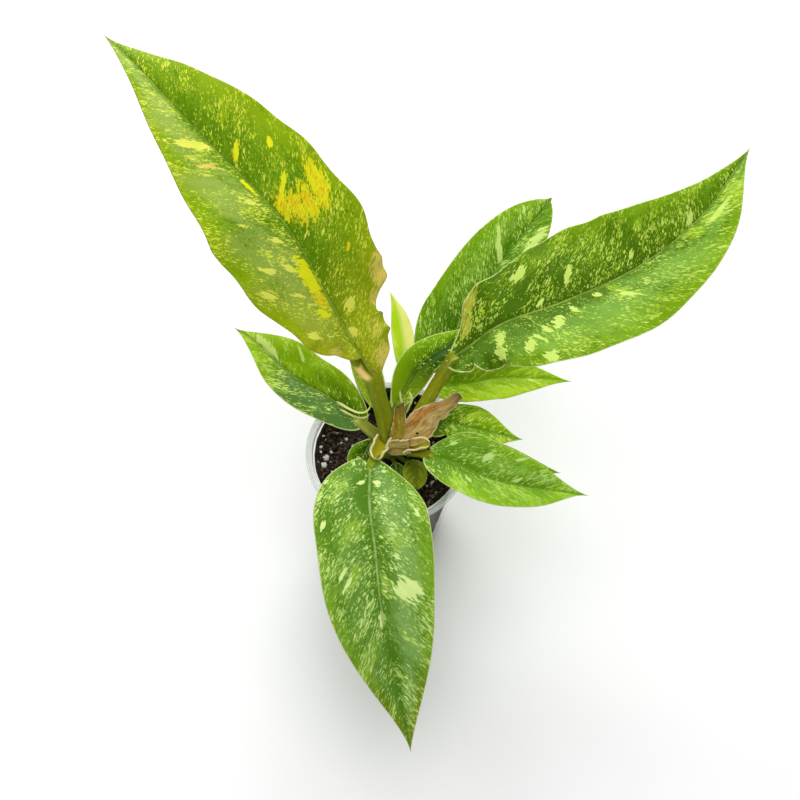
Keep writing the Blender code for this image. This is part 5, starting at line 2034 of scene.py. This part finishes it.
SMALL_LEAVES = (
    Leaf(
        "leaf_centre_dark", "leaf_dark",
        Stalk(((2, 8.5, 60), (3.5, 12, 63.5), (4, 15, 67)), 1.8, 1.5),
        Blade(rib=((4, 15, 67), (13, 28, 76), (24, 33, 82), (37, 40, 85)), left=Margin(8), right=Margin(7.5),
              spacing=0.5, seed=5),
        LeafFinish(
            deep=(0.018, 0.068, 0.001), green=(0.11, 0.24, 0.001), border=(0.2, 0.38, 0.003), flecks=0.6,
            left_grey_sheen=0.0, right_grey_sheen=0.1, left_half_tone_and_light=0.8, right_half_tone_and_light=-0.5, base_dark=0.0, tip_lift=-0.3,
            tan_share=0.7, tan_reach=0.5, tan=(0.21, 0.33, 0.003), rim_reach=0.35, rib_width=0.3,
            rib_show=0.3,
        ),
    ),
    Leaf(
        "leaf_back_new", "leaf_pale",
        Stalk(((0.5, 9.5, 54), (1.5, 18, 60), (7, 29, 67)), 1.3, 1.0),
        Blade(rib=((7, 29, 67), (6.2, 40, 73), (4.4, 50, 78), (1, 59, 82)), left=Margin(4), right=Margin(4.5),
              lobe=1, spacing=0.4, seed=6),
        LeafFinish(
            deep=(0.47, 0.74, 0.01), green=(0.86, 0.88, 0.22), border=(0.82, 0.88, 0.22),
            fleck=(0.8, 0.86, 0.2), rib=(0.66, 0.8, 0.25), flecks=0.2, left_grey_sheen=0.0, right_grey_sheen=0.0,
            left_half_tone_and_light=-0.45, right_half_tone_and_light=0.75, base_dark=0.3, border_share=0.2, mottle=0.4,
        ),
        StalkFinish("stalk_pale", olive=(0.42, 0.48, 0.03), green=(0.35, 0.45, 0.03)),
    ),
    Leaf(
        "leaf_right_lime", "leaf_lime",
        Stalk(((5.5, 8, 52.5), (10, 13, 56), (15, 20, 61), (19, 25, 64)), 1.7, 1.5),
        Blade(rib=((19, 25, 64), (32, 25, 67), (44, 26, 69), (59, 25, 70), (73, 24, 69)),
              left=Margin(10, 0.5, 0.5, 1.5, 1.6), right=Margin(10.5, 0.5, 0.4, 1.5, 1.6),
              spacing=0.5, seed=7, valley=0.5, vein_slope=0.9, vein_turn=0.8,
              marks=(
                  *patches(Tone.CREAM, (0.694, 0.1, 7, 2)),
                  *patches(Tone.LIME, (0.45, 0.5, 8, 4), (0.62, -0.4, 8, 3), (0.25, 0.4, 8, 4)),
              )),
        LeafFinish(
            deep=(0.21, 0.44, 0.001), green=(0.32, 0.58, 0.001), border=(0.46, 0.72, 0.005),
            fleck=(0.68, 0.85, 0.02), cream=(0.76, 0.88, 0.16), flecks=1.0, left_grey_sheen=0.05, right_grey_sheen=0.0,
            left_half_tone_and_light=-0.05, right_half_tone_and_light=0.2, tip_lift=0.5, base_dark=0.15, rib_width=0.3, rib_show=0.2,
        ),
    ),
    Leaf(
        "leaf_right_middle", "leaf_green",
        Stalk(((5, 4, 53.5), (11, 5, 57.5), (18, 6, 62)), 1.6, 1.3),
        Blade(rib=((18, 6, 62), (24, 8, 64), (39, 4, 65), (53, 1, 63)), left=Margin(9.5, 0.4, 0.5, 2.1, 2.0),
              right=Margin(8.5), spacing=0.5, seed=8, marks=patches(Tone.LIME, (0.45, -0.6, 8, 5))),
        LeafFinish(
            deep=(0.09, 0.23, 0.001), green=(0.21, 0.41, 0.001), border=(0.35, 0.58, 0.004), flecks=1.0,
            left_grey_sheen=0.05, right_grey_sheen=0.2, tip_lift=0.4, rib_width=0.25, rib_show=0.3,
        ),
    ),
    Leaf(
        "leaf_right_front", "leaf_green",
        Stalk(((4.5, 0.5, 57), (9, -3, 61.5), (17, -8, 66.8)), 2.6, 1.6),
        Blade(rib=((17, -8, 67), (26, -13, 71), (39, -21, 73), (57, -24, 71), (76, -25, 66)),
              left=Margin(14.5, 0.24, 0.5, 3.0, 1.8), right=Margin(11, 0.26, 0.5, 4.0, 2.6),
              spacing=0.6, seed=9, vein_slope=0.7, vein_turn=0.9,
              marks=(
                  *patches(Tone.CREAM, (0.335, -0.5, 6, 4, 0.4), (0.57, -0.8, 3.5, 2.5),
                           (0.102, -0.57, 2.5, 2), (0.56, -0.1, 3, 2), (0.3, 0.4, 3, 2)),
                  *patches(Tone.LIME, (0.637, 0.7, 12, 9), (0.82, 0.1, 9, 10), (0.3, 0.75, 9, 8)),
              )),
        LeafFinish(
            deep=(0.09, 0.215, 0.004), green=(0.18, 0.37, 0.01), border=(0.32, 0.58, 0.02),
            grey_sheen=(0.215, 0.415, 0.06), fleck=(0.5, 0.74, 0.04), cream=(0.45, 0.62, 0.2), left_grey_sheen=0.5,
            right_grey_sheen=0.2, left_half_tone_and_light=-0.1, right_half_tone_and_light=0.25, tip_lift=0.4, base_dark=0.9, base_reach=0.5,
            flecks=0.95, border_share=0.45, rib_width=0.2, rib_show=0.1,
        ),
        OLIVE_STALK,
    ),
    Leaf(
        "leaf_right_hidden", "leaf_green",
        Stalk(((5, 1.5, 52.5), (11, -1, 54.5), (19, -4, 60)), 1.0, 0.9),
        Blade(rib=((19, -4, 60), (36, -7, 63), (51, -10, 62), (67, -12, 60)), left=Margin(8), right=Margin(8),
              spacing=0.6, seed=10),
        LeafFinish(),
    ),
    Leaf(
        "leaf_left", "leaf_dark",
        Stalk(((-1, 5, 55), (-5, 5.5, 60), (-8, 6, 64), (-11, 7, 67)), 2.7, 2.0),
        Blade(rib=((-11, 7, 67), (-22, 15, 72), (-35, 22, 75), (-52, 37, 78), (-61, 44, 78)),
              left=Margin(12, 0.3, 0.5, 2.1, 1.5), right=Margin(12.5, 0.45, 0.4, 2.9, 2.3),
              spacing=0.55, seed=11, vein_slope=0.9, vein_turn=0.6,
              marks=(
                  *patches(Tone.CREAM, (0.75, 0.22, 4.5, 15), (0.54, 0.675, 4, 3)),
                  *patches(Tone.LIME, (0.86, -0.3, 6, 6)),
              )),
        LeafFinish(
            deep=(0.06, 0.135, 0.001), green=(0.24, 0.44, 0.002), border=(0.35, 0.56, 0.006),
            grey_sheen=(0.09, 0.2, 0.04), fleck=(0.56, 0.76, 0.025), cream=(0.64, 0.8, 0.22), flecks=0.9,
            left_grey_sheen=1.0, right_grey_sheen=0.0, grey_sheen_spread=0.3, grey_sheen_to=0.6, left_half_tone_and_light=-0.1, right_half_tone_and_light=0.2,
            tip_lift=0.9, grey_sheen_over=1.0, base_dark=0.9, base_reach=0.5, border_share=0.4, rib_width=0.35,
            rib_show=0.4,
        ),
        StalkFinish("stalk_left", olive=(0.38, 0.43, 0.06), green=(0.43, 0.49, 0.08)),
    ),
    Leaf(
        "leaf_back_left", "leaf_lime",
        Stalk(((0, 8, 57), (-2, 12, 61), (-4, 15, 65)), 1.4, 1.1),
        Blade(rib=((-4, 15, 65), (-6, 22, 69), (-9, 30, 74), (-11, 38, 78)),
              left=Margin(5.6, 0.45, 0.5, 3.5, 0.9), right=Margin(5.6, 0.45, 0.5, 3.5, 0.9),
              lobe=1, spacing=0.4, seed=12),
        LeafFinish(
            deep=(0.2, 0.38, 0.004), green=(0.42, 0.6, 0.012), border=(0.56, 0.68, 0.03), flecks=0.9,
            rim_reach=0.4, rib_width=0.3, base_dark=0.0,
        ),
    ),
    Leaf(
        "leaf_front_small", "leaf_green",
        Stalk(((-1, 4, 53), (-4, 4, 55.5), (-6, 3.4, 57.3)), 1.2, 0.9),
        Blade(rib=((-6, 3.4, 57.5), (-9.3, -3.5, 58.5), (-12.6, -11, 57.5)),
              left=Margin(5.4, 0.5, 0.5, 2.0, 0.6), right=Margin(5.6, 0.5, 0.5, 2.0, 0.6),
              lobe=1.5, spacing=0.35, seed=13),
        LeafFinish(
            deep=(0.024, 0.075, 0.002), green=(0.08, 0.19, 0.003), border=(0.17, 0.34, 0.006), flecks=0.8,
            rim_reach=0.35, tip_start=1.1, mottle=1.4, left_grey_sheen=0.0, right_grey_sheen=0.0, base_dark=0.5,
        ),
    ),
    Leaf(
        "leaf_low_oval", "leaf_olive",
        Stalk(((3.5, 0.5, 52), (7, -2.5, 52.6), (9, -4, 55)), 1.0, 0.9),
        Blade(rib=((9, -4, 55), (10.8, -9, 56), (11.4, -16, 54)), left=Margin(4.6, 0.5, 0.5, 2.0, 0.55),
              right=Margin(4.6, 0.5, 0.5, 2.0, 0.55), lobe=0.5, spacing=0.35, seed=14),
        LeafFinish(
            deep=(0.12, 0.155, 0.006), green=(0.27, 0.33, 0.016), border=(0.3, 0.37, 0.024), flecks=0.05,
            left_grey_sheen=0.0, right_grey_sheen=0.0, base_dark=0.2, rib_show=0.1, rim_reach=0.12, tip_start=1.1,
            rough=0.6,
        ),
    ),
    Leaf(
        "leaf_low_small", "leaf_dark",
        Stalk(((2, 1, 52), (2.4, -2.5, 53.2), (3.3, -5, 54.2)), 1.0, 0.9),
        Blade(rib=((3.3, -5, 54.2), (4, -9, 54.2), (5.2, -13, 53)), left=Margin(3.5), right=Margin(3.3),
              lobe=1, spacing=0.35, seed=15),
        # Both greens are very dark as painted shade: this small leaf lies low in the shadow under the front
        # leaf.
        LeafFinish(
            deep=(0.03, 0.08, 0.003), green=(0.06, 0.13, 0.005), flecks=0.2,
        ),
    ),
)

CROWN = (
    SheathCup("leaf_front_sheath", "leaf_front", "leaf_green",
              ((-1.1, 0.9, 66), (-2.6, -3.6, 66.2), (-3.7, -6.7, 66.2), (-4, -9.5, 66.2)),
              2.9, 4.2, SHEATH_SKIN, rim=1.0, wave=0.65, waves=1.7, seed=2),
    SheathCup("leaf_right_front_sheath", "leaf_right_front", "leaf_green",
              ((5.9, -3.7, 65.5), (8.9, -3.4, 67), (12.7, -3.5, 68.3), (16.5, -4.3, 69)),
              2.4, 3.4, SHEATH_SKIN, rim=0.7, wave=0.3, waves=1.4, closing=0.7, seed=5),
    Ribbon("leaf_left_curl", "leaf_left", "leaf_dark",
           ((-19.6, 12.6, 72.5), (-16.9, 11.4, 71.5), (-14.2, 9.9, 71), (-11.1, 8.8, 70.5), (-8.8, 8.8, 70.5),
            (-6.9, 10.1, 71), (-6.1, 11.9, 72.5)), 1.3, CREAM_CURL, twist=50),
    Ribbon("leaf_left_curl_low", "leaf_left", "leaf_dark",
           ((-18.4, 10.2, 71), (-14.4, 8.2, 70.3), (-11.5, 7.3, 69.5), (-8.6, 7.4, 69), (-6.6, 8.6, 69.5)),
           0.9, CREAM_CURL),
    Ribbon("leaf_centre_dark_edge_left", "leaf_centre_dark", "leaf_dark",
           ((5.1, 17.1, 73), (5.5, 14.6, 71), (7, 10.3, 67)), 0.9, CREAM_CURL),
    Ribbon("leaf_centre_dark_edge_right", "leaf_centre_dark", "leaf_dark",
           ((8.6, 15.8, 75), (9.7, 13.4, 73), (8.8, 11.8, 70.5), (7.4, 10.3, 67)), 0.9, CREAM_CURL),
    Ribbon("leaf_upper_left_curl", "leaf_upper_left", "leaf_olive",
           ((-11.1, 23.5, 93), (-10, 24.4, 93), (-8.8, 23.1, 93), (-9.2, 21.1, 92.5), (-10.7, 20.6, 92),
            (-11.6, 21.6, 92)), 0.7, CREAM_CURL),
    PaperySheath(
        "sheath_flap_sheet", "sheath_flap",
        ((5.5, -0.6, 65.5), (6.6, 4.8, 68.5), (10.1, 8.4, 71.5), (15.5, 10.9, 73), (20.9, 11.9, 74),
         (26.7, 14.7, 76)),
        ((7, -3.8, 65), (12, -3.1, 66.5), (17, -0.7, 68), (19.7, 3.9, 70), (24.3, 7.8, 72.5),
         (29.7, 12.7, 75.5)),
        PaperFinish("sheath_flap_paper", hole=(8.0, 1.5, 0.3), green_share=0.05, tip_start=0.82),
        crinkle=0.7, seed=4,
    ),
    PaperySheath(
        "sheath_strip_sheet", "sheath_strip",
        ((0.0, -2.8, 64), (1.5, 1.7, 67), (2.6, 6, 71), (3.2, 10, 75.5)),
        ((8.2, -2.8, 64), (7.6, 1.7, 67), (7.2, 6, 71), (6.6, 10.5, 75.5)),
        PaperFinish("sheath_strip_paper", tan=(0.27, 0.2, 0.012), light=(0.44, 0.35, 0.035),
                    green_share=0.45, rust_share=0.5, tip_start=0.6),
        arch=1.3, crinkle=0.9, fray=0.22, seed=3,
    ),
    PaperySheath(
        "sheath_strip_fold", "sheath_strip",
        ((-0.7, -3.4, 65), (0.9, -2.2, 66.8), (2.8, -1.6, 67.6), (5.5, -1.7, 67.5), (8.6, -1.5, 67.5)),
        ((0.1, -4.1, 62), (2.4, -5.1, 62.5), (5.1, -5.6, 63), (7.4, -5.6, 63.5), (9.7, -5.3, 64.5)),
        PaperFinish("sheath_fold_paper", tan=(0.28, 0.21, 0.04), light=(0.45, 0.35, 0.11), green_share=0.3,
                    rust_share=0.1, tip_start=0.95, rim_share=0.9),
        arch=0.9, crinkle=0.7, fray=0.05, seed=9,
    ),
)


def main() -> None:
    """Build every sub-assembly."""
    logging.basicConfig(level=logging.INFO, format="%(message)s")
    pot = Pot()
    for part in (Studio(), pot, PottingMix(pot), Stem(), UPPER_LEFT, UPPER_RIGHT, BACK_RIGHT, FRONT,
                 *SMALL_LEAVES, *CROWN):
        part.build()
    bpy.context.view_layer.update()


if __name__ == "__main__":
    main()
